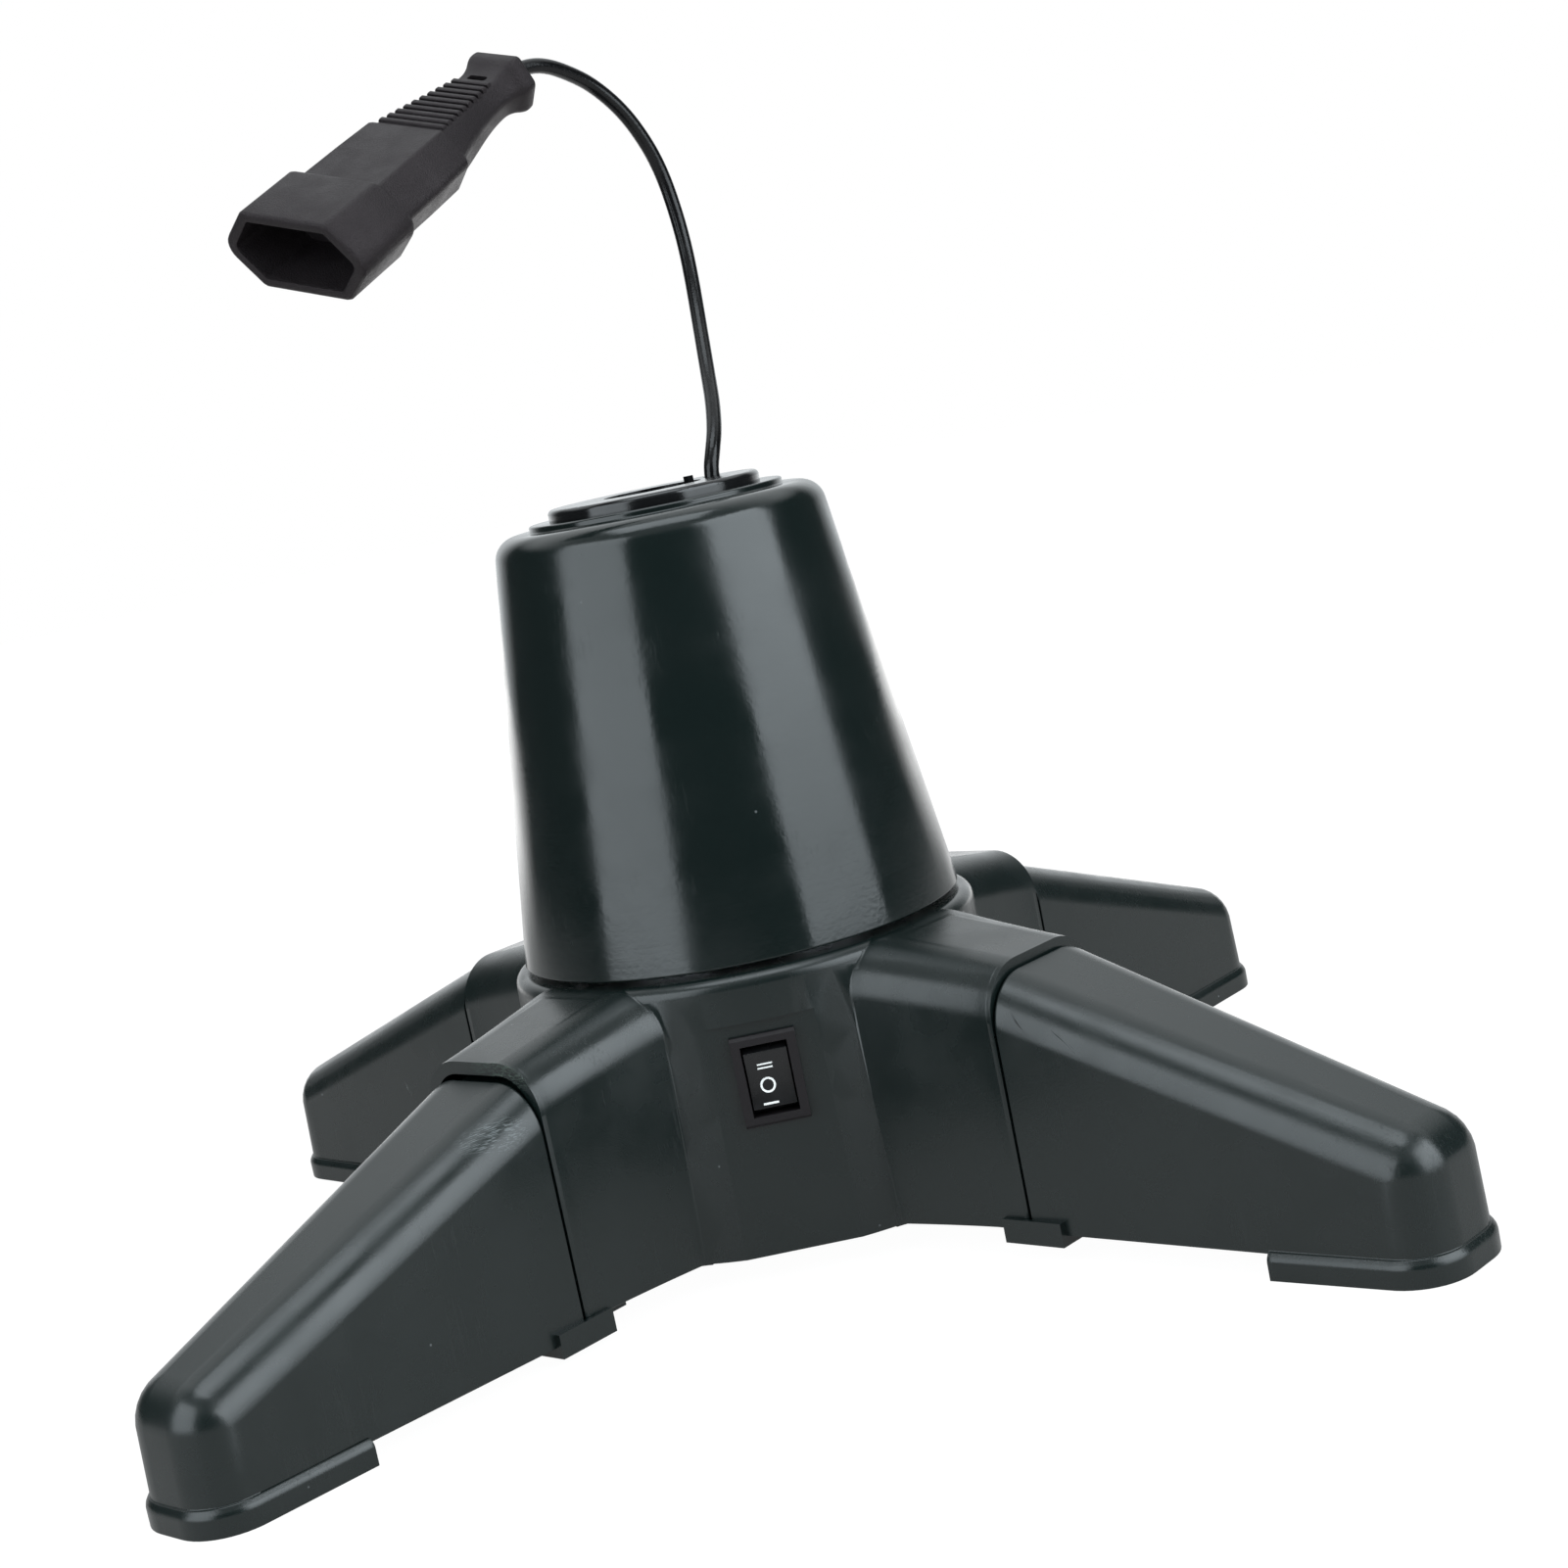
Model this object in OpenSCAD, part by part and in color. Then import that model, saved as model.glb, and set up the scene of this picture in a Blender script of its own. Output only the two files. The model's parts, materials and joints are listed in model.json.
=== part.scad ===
// Rotating tree stand: a geared motor in a four-legged hub turns a pole socket under a cone cover,
// and slip rings feed a lamp socket that turns with the pole.
// Millimetres. Z is up, the floor is z = 0, and the legs lie along X and Y.

/* [Cone cover] */
// Outer radius of the cover at its bottom edge
cover_r = 54.5; // [53:0.5:58]
// Outer radius at the top, before the edge is rounded
cover_top_r = 40; // [38:0.5:44]
// Height of the cover from its bottom edge to its flat top
cover_h = 103.5; // [92:0.5:112]
// Wall of the cover
cover_wall = 2.4; // [1.8:0.1:3]
// Rounding of the top edge
cover_round = 6; // [4:0.5:8]
// Radius of the raised collar on top
collar_r = 31.2; // [29:0.2:33]
// Height of the raised collar
collar_h = 1.6; // [1:0.2:2.6]
// Running gap between the hub and the cover
cover_gap = 1.5; // [1:0.1:3]
// Number of ribs inside the cover
cover_ribs = 6; // [4:1:8]

/* [Pole socket] */
// Diameter of the pole that the socket takes
pole_d = 24; // [20:0.5:25]
// Wall of the socket tube
tube_wall = 2.6; // [2:0.2:3.4]
// Depth of the socket below its head
pole_depth = 80; // [60:1:84]
// Radius of the socket's black head
head_r = 26; // [24:0.5:28]
// Height of the head above the collar
head_h = 2.9; // [2.4:0.1:4]
// Height of the key tooth above the head
key_h = 1.2; // [0.8:0.1:2]

/* [Hub] */
// How far the hub's flange stands out past the cover
hub_ledge = 3.1; // [2:0.1:4]
// Height of the hub's bottom edge above the floor
hub_clear = 6.8; // [6:0.2:9]
// Height of the hub housing
hub_h = 65.7; // [64:0.5:70]
// Draft of the hub's wall, in degrees
hub_draft = 2; // [1.5:0.1:2.5]
// Wall of the hub and its stubs
hub_wall = 3; // [2.4:0.1:3.4]
// Rounding of the hub's top edge
hub_round = 3; // [2:0.5:4]
// Thickness of the bottom cover
base_t = 2.8; // [2.4:0.1:3.4]

/* [Stubs and legs] */
// Distance from the axis to the joint between stub and leg
stub_reach = 90.8; // [86:0.2:96]
// Width of a stub
stub_w = 38.6; // [36:0.2:41]
// Fall of a stub's top from the hub to the joint
stub_fall = 5.7; // [4:0.1:7]
// Rounding of a stub's top edges
stub_round = 11.8; // [9:0.2:13]
// Blend between a stub's side and the hub
stub_blend = 8; // [5:0.5:9]
// Distance from the axis to a leg's tip
leg_reach = 191.5; // [180:0.5:200]
// Width of a leg at its tip
tip_w = 29.6; // [26:0.2:32]
// Height of a leg's top at its tip
tip_h = 32.4; // [30:0.2:38]
// Rounding of a leg's tip
tip_round = 11; // [8:0.5:12]
// Step down from a stub's top to its leg's top
leg_step = 1.9; // [1:0.1:3]
// Wall of a leg
leg_wall = 2.5; // [2:0.1:3]
// Length of the tongue that slides into a stub
tongue = 15; // [12:0.5:18]
// Open line between stub and leg
joint_gap = 0.8; // [0.4:0.1:1.2]
// Play of a tongue in its stub
tongue_play = 0.4; // [0.3:0.05:0.6]
// How low the front left leg hangs in its joint
sag_front_left = 2.3; // [0:0.1:3]
// How low the front right leg hangs in its joint
sag_front_right = 0.5; // [0:0.1:3]
// How low the back left leg hangs in its joint
sag_back_left = 0; // [0:0.1:3]
// How low the back right leg hangs in its joint
sag_back_right = 2; // [0:0.1:3]

/* [Feet and hooks] */
// Height of the rim round a foot
rim_h = 6; // [5:0.2:7]
// How far the rim stands out from the leg
rim_out = 1.8; // [1:0.1:2.4]
// Length of the rim from its straight end to the tip
rim_len = 40; // [34:0.5:46]
// Length of the hook bar under a joint
hook_len = 16.4; // [14:0.2:20]
// How far the hook bar stands out from the stub's side
hook_out = 1.3; // [0.8:0.1:2]
// Height of the hook bar's lips
hook_h = 5.6; // [5:0.1:7]

/* [Bearing] */
// Diameter of a ball
ball_d = 6; // [5:0.5:6.5]
// Number of balls
ball_count = 16; // [10:1:20]
// Radius of the circle that the balls run on
ball_circle_r = 37; // [36.5:0.5:39]
// Width of a race
race_w = 13; // [11:0.5:13]
// Thickness of a race
race_t = 3; // [2.6:0.1:3.6]
// Play of a ball in its groove and cage
ball_play = 0.2; // [0.15:0.05:0.3]

/* [Drive] */
// Tooth module of the gears
gear_module = 1; // [0.96:0.02:1.04]
// Teeth of the drive gear
gear_teeth = 56; // [54:1:58]
// Teeth of the pinion
pinion_teeth = 16; // [16:1:18]
// Thickness of the drive gear
gear_t = 8; // [7:0.5:9]
// Backlash between the gears
backlash = 0.2; // [0.15:0.05:0.3]
// Radius of the motor's can
motor_r = 25; // [23:0.5:26]
// Height of the motor's can
motor_h = 17; // [14:0.5:19]
// Radius of the motor's shaft
shaft_r = 3.5; // [3:0.1:3.8]
// Offset of the shaft from the can's centre
shaft_offset = 9.5; // [9:0.5:10.5]
// Spacing of the motor's two ears
ear_spacing = 58; // [55:0.5:60]

/* [Switch] */
// Height of the switch's centre above the floor
switch_z = 47.8; // [45:0.2:49]
// Height of the switch frame
frame_h = 21.2; // [20:0.2:23]
// Width of the switch frame
frame_w = 15.2; // [14:0.2:17]
// Thickness of the switch frame
frame_t = 1.9; // [1.5:0.1:2.4]
// Half of the rocker's travel, in degrees
rocker_tilt = 9; // [6:1:10]

/* [Socket lead] */
// Diameter of the lead
lead_d = 3.8; // [3.2:0.2:3.8]
// Width of the lamp socket's mouth
mouth_w = 44.4; // [42:0.2:46]
// Height of the lamp socket's mouth
mouth_h = 19.8; // [18:0.2:21]
// Length of the lamp socket's shroud
shroud_len = 19.8; // [18:0.2:24]
// Wall round the lamp socket's recess
mouth_wall = 3; // [2.4:0.1:3.4]

/* [Hidden] */

$fn = 96;
fit_gap = 0.1;          // between pieces that are pushed or screwed together
running_gap = 0.05;     // between a turning shaft and its hole
eps = 0.02;             // overshoot of a cut past a face

// heights, from the floor up
hub_z = hub_clear + hub_h;                  // top of the hub's plate
plate_t = 3;                                // thickness of that plate
plate_z = hub_z - plate_t;                  // its underside
race_sink = 1;                              // depth of a race's seat
race_gap = 0.4 * ball_d;                    // between the two races
lower_race_z = hub_z - race_sink;
ball_z = lower_race_z + race_t + race_gap / 2;
upper_race_z = ball_z + race_gap / 2;
table_z = upper_race_z + race_t - race_sink;    // underside of the turntable's disc
table_t = 4;
table_top = table_z + table_t;
cover_z = hub_z + cover_gap;
cover_top = cover_z + cover_h;
collar_top = cover_top + collar_h;
head_top = collar_top + head_h;
gear_top = plate_z - 1;                     // the gear turns 1 mm under the plate
gear_z = gear_top - gear_t;

// radii, from the axis out
bore_r = pole_d / 2;
tube_r = bore_r + tube_wall;
lead_r = lead_d / 2;
lead_hole_r = lead_r + 0.4;
lead_at_r = 17;                             // where the lead rises beside the tube
lead_angle = 75;
table_screw_r = 16.5;
spigot_r = ball_circle_r - race_w / 2 - 5;
spigot_bore = table_screw_r + 3;
hub_bore = spigot_r + 2;
hub_r = cover_r + hub_ledge;
hub_foot_r = hub_r + hub_h * tan(hub_draft);
table_r = cover_r - cover_wall - 5;

// drive
gear_r = gear_module * gear_teeth / 2;
pinion_r = gear_module * pinion_teeth / 2;
drive_angle = 135;                          // the motor sits opposite the switch
shaft_at = gear_r + pinion_r;
can_at = shaft_at - shaft_offset;
motor_top = gear_z - 9;                     // top of the motor's plate
motor_plate_t = 1.2;
ear_hole_r = 2.1;
post_r = 4;

// slip rings and their brushes
ring_r = [10, 16];
ring_w = 3;
ring_t = 0.8;
ring_proud = 0.2;
brush_post_r = 44;
brush_post_turn = 55;                       // each side of the switch's direction
brush_z = gear_z - 8.5;
brush_t = 3;

// switch: a flat on the hub's wall, at the corner between the two front legs
switch_angle = -45;
pad_half = 13.5;                            // half width of the flat
pad_top = 61.5;
pad_bottom = 15;
frame_rail_h = 2.3;
frame_rail_w = 2.2;
body_depth = 13.5;
body_wall = 1;
rocker_play = 0.35;
TAB_ZS = [-6, 0, 6];                        // heights of the three terminals, from the centre
tab_w = 4.8;
tab_t = 0.8;
tab_len = 7.5;                              // how far they stand out at the back
pivot_in = 3;                               // the rocker's pivot, behind the flat

// legs
stub_half = stub_w / 2;
tip_half = tip_w / 2;
stub_end_z = hub_z - stub_fall;
stub_slope = atan(stub_fall / (stub_reach - hub_r));
stub_top_lap = 0.5;                         // a stub's top stays this far under the hub's top
leg_start = stub_reach + joint_gap;
hook_seat = 0.25;                           // play of the stub in the hook bar
hook_floor = 2.2;                           // thickness of the bar under the stub
tip_draft = 0.5;                            // a leg's tip is wider at its foot by this
sag_at_tip = 0.6;                           // share of a leg's sag that its tip shows
LEG_ANGLES = [-90, 0, 180, 90];             // front left, front right, back left, back right
LEG_SAGS = [sag_front_left, sag_front_right, sag_back_left, sag_back_right];

// the lead's route, from under the turntable to the lamp socket
LEAD_ROUTE = [[4.4, 16.4, 77], [4.4, 16.4, 88], [4.4, 16.4, 99], [4.4, 16.4, 110], [4.4, 16.4, 121],
              [4.4, 16.4, 132], [4.4, 16.4, 143], [4.4, 16.4, 154], [4.4, 16.4, 165], [4.4, 16.4, 175],
              [4.4, 16.4, 183], [4, 19, 188], [2, 23, 192.5], [-3, 29.5, 199], [-9, 36, 206],
              [-14, 41.5, 214], [-18.5, 46.5, 222], [-22, 50.5, 231.5], [-24.5, 53, 240.5], [-26, 53.5, 250],
              [-26.5, 52, 259.5], [-26.5, 48.5, 267.5], [-27, 43, 276], [-28, 35.5, 283], [-28, 28, 286.5],
              [-28, 20, 289], [-28.5, 13, 288.8], [-28.6, 6.8, 286.4], [-28.6, 0.5, 283.4],
              [-28.6, -5.8, 280.4]];
socket_at = [-28.6, -68.4, 250.4];              // centre of the lamp socket's mouth
socket_dip = 25.6;                          // its axis, below the horizontal
socket_roll = -19.7;                        // its turn about that axis
socket_len = 83.4;
lead_in = 15;                               // how far the lead's bore goes into the lamp socket's neck

// ---- shared shapes ----

// What a rounding of radius r takes off the corner at p, between the edges to a and to b
module corner_waste(a, p, b, r) {
    ua = (a - p) / norm(a - p);
    ub = (b - p) / norm(b - p);
    half = acos(ua * ub) / 2;
    mid = (ua + ub) / norm(ua + ub);
    centre = p + mid * r / sin(half);
    difference() {
        polygon([p - mid, p + ua * r / tan(half), centre, p + ub * r / tan(half)]);
        translate(centre) circle(r);
    }
}

module ring(outer_r, inner_r, h) {
    difference() {
        cylinder(r = outer_r, h = h);
        translate([0, 0, -1]) cylinder(r = inner_r, h = h + 2);
    }
}

// Copies at n equal steps round the axis
module around(n, start = 0) {
    for (i = [0 : n - 1]) rotate(start + i * 360 / n) children();
}

module at_polar(r, angle) {
    rotate(angle) translate([r, 0, 0]) rotate(-angle) children();
}

// Pan-head screw, its head's seat at z = 0 and its point up
module pan_screw(shank_r, shank_l, head_r, head_t) {
    cylinder(r = shank_r, h = shank_l - shank_r);
    translate([0, 0, shank_l - shank_r]) cylinder(r1 = shank_r, r2 = 0.3, h = shank_r);
    difference() {
        translate([0, 0, -head_t]) rotate_extrude() difference() {
            square([head_r, head_t]);
            corner_waste([0, 0], [head_r, 0], [head_r, head_t], head_t * 0.6);
        }
        for (a = [0, 90]) rotate(a) translate([-head_r * 0.6, -0.4, -head_t - eps])
            cube([head_r * 1.2, 0.8, head_t * 0.5]);
    }
}

// ---- gears ----

function involute_angle(base_r, r) = let (t = sqrt(max(0, r * r / (base_r * base_r) - 1)))
    t * 180 / PI - atan(t);

// Half of a tooth's angular thickness at radius r
function tooth_half(teeth, r) = let (pitch_r = gear_module * teeth / 2, base_r = pitch_r * cos(20))
    ((PI * gear_module - backlash) / 4 / pitch_r) * 180 / PI
    + involute_angle(base_r, pitch_r) - involute_angle(base_r, max(r, base_r));

function tooth_radii(teeth, addendum) = let (pitch_r = gear_module * teeth / 2,
        root_r = pitch_r - 1.25 * gear_module, tip_r = pitch_r + addendum * gear_module,
        low_r = max(root_r + 0.2, pitch_r * cos(20)))
    concat([root_r], [for (i = [0 : 4]) low_r + (tip_r - low_r) * i / 4]);

module gear_outline(teeth, addendum) {
    radii = tooth_radii(teeth, addendum);
    last = len(radii) - 1;
    polygon([for (k = [0 : teeth - 1], side = [-1, 1], i = [0 : last])
        let (r = radii[side < 0 ? i : last - i], a = k * 360 / teeth + side * tooth_half(teeth, r))
        [r * cos(a), r * sin(a)]]);
}

// ---- rotor ----

cover_foot = [cover_r, cover_z];
cover_shoulder = [cover_top_r, cover_top];

// Solid of the cover's outside, or of its inside when inset by the wall
module cover_form(inset) {
    rotate_extrude() difference() {
        polygon([[0, cover_z - (inset > 0 ? eps : 0)], cover_foot - [inset, inset > 0 ? eps : 0],
                 cover_shoulder - [inset, inset], [0, cover_top - inset]]);
        corner_waste(cover_foot - [inset, 0], cover_shoulder - [inset, inset],
                     [0, cover_top - inset], cover_round - inset);
    }
}

cover_hole_r = lead_at_r + lead_hole_r + 1;

module cone_cover() {
    rib_t = 1.8;
    rib_reach = 16;
    color("darkslategray") difference() {
        union() {
            cover_form(0);
            translate([0, 0, cover_top - cover_wall]) rotate_extrude() difference() {
                square([collar_r, collar_h + cover_wall]);
                corner_waste([0, collar_h + cover_wall], [collar_r, collar_h + cover_wall], [collar_r, 0], 0.6);
            }
        }
        difference() {
            cover_form(cover_wall);
            // the ribs stand on the turntable's disc
            difference() {
                around(cover_ribs) translate([0, -rib_t / 2, table_top]) cube([cover_r, rib_t, cover_h]);
                translate([0, 0, cover_z]) cylinder(r1 = cover_r - rib_reach,
                    r2 = cover_top_r - rib_reach * 0.6, h = cover_h);
            }
        }
        translate([0, 0, cover_top - 2 * cover_wall]) cylinder(r = cover_hole_r, h = 4 * cover_wall);
    }
}

module pole_socket() {
    floor_z = head_top - pole_depth;
    foot_t = 3;
    foot_r = table_screw_r + 3.5;
    color("#151718") difference() {
        union() {
            // head, rounded at its rim
            translate([0, 0, collar_top]) rotate_extrude() difference() {
                square([head_r, head_h]);
                corner_waste([0, head_h], [head_r, head_h], [head_r, 0], head_h * 0.45);
            }
            // boss that centres the cover
            translate([0, 0, cover_top - cover_wall]) cylinder(r = cover_hole_r - fit_gap,
                h = collar_top - cover_top + cover_wall + eps);
            translate([0, 0, table_top]) cylinder(r = tube_r, h = head_top - table_top - head_h / 2);
            translate([0, 0, table_top]) cylinder(r = foot_r, h = foot_t);
            // key tooth on the bore's edge
            rotate(90) translate([bore_r - 0.5, -0.9, head_top - 1]) cube([2.1, 1.8, 1 + key_h]);
            around(4, 30) translate([0, -1, table_top + 1]) cube([foot_r - 1, 2, 11]);
        }
        translate([0, 0, floor_z]) cylinder(r = bore_r, h = pole_depth + 5);
        translate([0, 0, table_top - 1]) cylinder(r = bore_r, h = floor_z - 3 - table_top + 1);
        at_polar(lead_at_r, lead_angle) translate([0, 0, table_top - 1])
            cylinder(r = lead_hole_r, h = cover_h + 20);
        around(3, lead_angle + 60) translate([table_screw_r, 0, table_top - 1])
            cylinder(r = 1.5, h = foot_t + 2);
    }
}

module turntable() {
    color("gainsboro") difference() {
        union() {
            translate([0, 0, table_z]) cylinder(r = table_r, h = table_t);
            translate([0, 0, gear_top]) cylinder(r = spigot_r, h = table_z - gear_top + eps);
        }
        translate([0, 0, gear_top - 1]) cylinder(r = spigot_bore, h = table_z - gear_top + 1);
        translate([0, 0, table_z - 1]) ring(ball_circle_r + race_w / 2 + fit_gap,
            ball_circle_r - race_w / 2 - fit_gap, race_sink + 1);
        at_polar(lead_at_r, lead_angle) translate([0, 0, table_z - 1])
            cylinder(r = lead_hole_r, h = table_t + 2);
        around(3, lead_angle + 60) translate([table_screw_r, 0, table_z - 1])
            cylinder(r = 1.8, h = table_t + 2);
        around(3, lead_angle) translate([gear_screw_r, 0, gear_top - 1]) cylinder(r = 1.5, h = 9);
    }
}

module socket_screws() {
    color("silver") around(3, lead_angle + 60) translate([table_screw_r, 0, table_z])
        pan_screw(1.5 - eps, table_t + 3, 2.7, 1.8);
}

gear_screw_r = (spigot_bore + spigot_r) / 2;

module race(groove_z) {
    difference() {
        ring(ball_circle_r + race_w / 2, ball_circle_r - race_w / 2, race_t);
        translate([0, 0, groove_z]) rotate_extrude() translate([ball_circle_r, 0])
            circle(ball_d / 2 + ball_play, $fn = 48);
    }
}

module upper_race() {
    color("lightsteelblue") translate([0, 0, upper_race_z]) race(-race_gap / 2);
}

module lower_race() {
    color("lightsteelblue") translate([0, 0, lower_race_z]) race(race_t + race_gap / 2);
}

module ball_cage() {
    cage_t = race_gap - 0.6;
    color("goldenrod") translate([0, 0, ball_z - cage_t / 2]) difference() {
        ring(ball_circle_r + ball_d * 0.75, ball_circle_r - ball_d * 0.75, cage_t);
        around(ball_count) translate([ball_circle_r, 0, -1])
            cylinder(r = ball_d / 2 + ball_play, h = cage_t + 2, $fn = 48);
    }
}

module bearing_balls() {
    color("silver") around(ball_count) translate([ball_circle_r, 0, ball_z]) sphere(d = ball_d, $fn = 48);
}

module drive_gear() {
    color("ivory") difference() {
        translate([0, 0, gear_z]) rotate(drive_angle) linear_extrude(gear_t) gear_outline(gear_teeth, 0.9);
        translate([0, 0, gear_z - 1]) cylinder(r = 5, h = gear_t + 2);
        for (r = ring_r) translate([0, 0, gear_z - 1])
            ring(r + ring_w / 2 + fit_gap, r - ring_w / 2 - fit_gap, 1 + ring_t - ring_proud);
        around(3, lead_angle) translate([gear_screw_r, 0, gear_z - 1]) {
            cylinder(r = 1.8, h = gear_t + 2);
            cylinder(r = 3, h = 3.2);
        }
    }
}

module gear_screws() {
    color("silver") around(3, lead_angle) translate([gear_screw_r, 0, gear_z + 2.2])
        pan_screw(1.5 - eps, gear_t + 4, 2.7, 1.8);
}

module slip_rings() {
    color("peru") for (r = ring_r) translate([0, 0, gear_z - ring_proud])
        ring(r + ring_w / 2, r - ring_w / 2, ring_t);
}

// ---- motor ----

module pinion() {
    color("ivory") at_polar(shaft_at, drive_angle) difference() {
        union() {
            translate([0, 0, gear_z - 0.5]) rotate(drive_angle + 180 + 180 / pinion_teeth)
                linear_extrude(gear_t + 0.5) gear_outline(pinion_teeth, 1);
            translate([0, 0, gear_z - 3]) cylinder(r = pinion_r - 1.5 * gear_module, h = 3);
        }
        translate([0, 0, gear_z - 4]) cylinder(r = shaft_r, h = gear_t + 5);
    }
}

module motor_shaft() {
    color("silver") at_polar(shaft_at, drive_angle)
        translate([0, 0, motor_top - 4]) cylinder(r = shaft_r, h = gear_top - motor_top + 4);
}

module motor_can() {
    color("silver") at_polar(can_at, drive_angle) difference() {
        translate([0, 0, motor_top - motor_plate_t - motor_h]) rotate_extrude() difference() {
            square([motor_r, motor_h]);
            corner_waste([0, 0], [motor_r, 0], [motor_r, motor_h], 1.5);
        }
        rotate(drive_angle) translate([shaft_offset, 0, motor_top - 6]) cylinder(r = shaft_r + running_gap, h = 8);
    }
}

module motor_plate() {
    ear_r = 5;
    color("lightgray") difference() {
        union() {
            translate([0, 0, motor_top - motor_plate_t]) {
                at_polar(can_at, drive_angle) cylinder(r = motor_r, h = motor_plate_t);
                at_ears() cylinder(r = ear_r, h = motor_plate_t);
                at_polar(can_at, drive_angle) rotate(drive_angle) translate([-ear_r, -ear_spacing / 2, 0])
                    cube([2 * ear_r, ear_spacing, motor_plate_t]);
            }
            at_polar(shaft_at, drive_angle) translate([0, 0, motor_top - eps]) cylinder(r = shaft_r + 2.5, h = 3);
        }
        at_polar(shaft_at, drive_angle) translate([0, 0, motor_top - 6]) cylinder(r = shaft_r + running_gap, h = 12);
        at_ears() translate([0, 0, motor_top - 5]) cylinder(r = ear_hole_r, h = 10);
    }
}

module at_ears() {
    at_polar(can_at, drive_angle) rotate(drive_angle)
        for (side = [-1, 1]) translate([0, side * ear_spacing / 2, 0]) children();
}

module motor_screws() {
    color("silver") at_ears() translate([0, 0, motor_top - motor_plate_t]) pan_screw(1.8 - eps, 11, 3.4, 2.2);
}

// ---- brushes ----

module at_brush_posts() {
    for (side = [-1, 1]) at_polar(brush_post_r, switch_angle + side * brush_post_turn) children();
}

brush_bar_at = brush_post_r * cos(brush_post_turn);     // from the axis to the bar's centre line

module brush_holder() {
    bar_half = brush_post_r * sin(brush_post_turn);
    color("saddlebrown") translate([0, 0, brush_z - brush_t]) difference() {
        union() {
            at_brush_posts() cylinder(r = post_r, h = brush_t);
            rotate(switch_angle) translate([brush_bar_at - post_r, -bar_half, 0])
                cube([2 * post_r, 2 * bar_half, brush_t]);
            rotate(switch_angle) translate([ring_r[0] - 4, -6, 0])
                cube([brush_bar_at - ring_r[0] + 4, 12, brush_t]);
        }
        at_brush_posts() translate([0, 0, -1]) cylinder(r = 1.8, h = brush_t + 2);
    }
}

// One spring leaf for each ring: a foot on the holder and an arm that rises to the ring
module brush_springs() {
    leaf_t = 0.4;
    rise = gear_z - ring_proud - ball_play - brush_z;
    color("peru") rotate(switch_angle) for (i = [0, 1])
        translate([ring_r[i], i == 0 ? 1 : -4, brush_z]) rotate([90, 0, 0]) translate([0, 0, -3])
            linear_extrude(3) polygon([[10, 0], [10, leaf_t], [6, leaf_t], [0.8, rise], [-0.8, rise],
                                       [-3, rise - 2.4], [-2.6, rise - 2.6], [-0.6, rise - leaf_t],
                                       [0.6, rise - leaf_t], [5.8, 0]]);
}

module brush_screws() {
    color("silver") at_brush_posts() translate([0, 0, brush_z - brush_t]) pan_screw(1.5 - eps, 9, 2.8, 1.8);
}

// ---- hub ----

// Section of a stub: flat top at y = 0, both top edges rounded, long straight sides
module arch(half, r, drop) {
    difference() {
        translate([-half, -drop]) square([2 * half, drop]);
        for (s = [-1, 1]) corner_waste([0, 0], [s * half, 0], [s * half, -drop], r);
    }
}

// The stub's form, shrunk by inset, from x0 to x1 and down to z0
module stub_form(inset, x0, x1, z0, fall = 0) {
    long = 2 * stub_reach;
    intersection() {
        translate([stub_reach, 0, stub_end_z - inset - fall]) rotate([0, stub_slope, 0])
            translate([-long / 2, 0, 0]) rotate([90, 0, 90])
                linear_extrude(long) arch(stub_half - inset, stub_round - inset, 3 * hub_z);
        translate([x0, -stub_w, z0]) cube([x1 - x0, 2 * stub_w, hub_z - stub_top_lap - z0]);
    }
}

// Blend in the corner between a stub's side and the hub's wall: it leans in with the wall
module stub_blend_form() {
    sink = 0.15;
    reach = hub_foot_r + stub_blend - sink;
    across = stub_half + stub_blend - sink;
    along = sqrt(reach * reach - across * across);
    touch = [along, across] * hub_foot_r / reach;
    translate([along, 0, hub_clear]) rotate([0, -hub_draft * reach / along, 0]) translate([-along, 0, 0])
        linear_extrude(stub_end_z - stub_round - hub_clear) difference() {
            polygon([touch, [along, across], [along, stub_half - 1], [touch[0] - 3, stub_half - 1], touch - [3, 1]]);
            translate([along, across]) circle(stub_blend);
        }
}

function arc_points(centre, r, from, to, n) =
    [for (i = [0 : n]) let (a = from + (to - from) * i / n) centre + r * [cos(a), sin(a)]];

module hub_form() {
    rotate_extrude() polygon(concat([[0, hub_clear], [hub_foot_r, hub_clear]],
        arc_points([hub_r - hub_round, hub_z - hub_round], hub_round, 0, 90, 6), [[0, hub_z]]));
}

module at_switch() {
    pad_at = sqrt(pow(hub_foot_r - (switch_z - hub_clear) * tan(hub_draft), 2) - pad_half * pad_half);
    rotate(switch_angle) translate([pad_at, 0, switch_z]) rotate([0, -hub_draft, 0]) children();
}

gland_angle = 135;
gland_z = 20;
gland_r = 5;

module at_gland() {
    rotate(gland_angle) translate([hub_foot_r - (gland_z - hub_clear) * tan(hub_draft), 0, gland_z])
        rotate([0, 90, 0]) children();
}

cover_boss_r = 4;
cover_boss_at = hub_r - hub_wall - cover_boss_r + 0.5;
cover_screw_hole = 1.5;
base_top = hub_clear + base_t;

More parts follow.
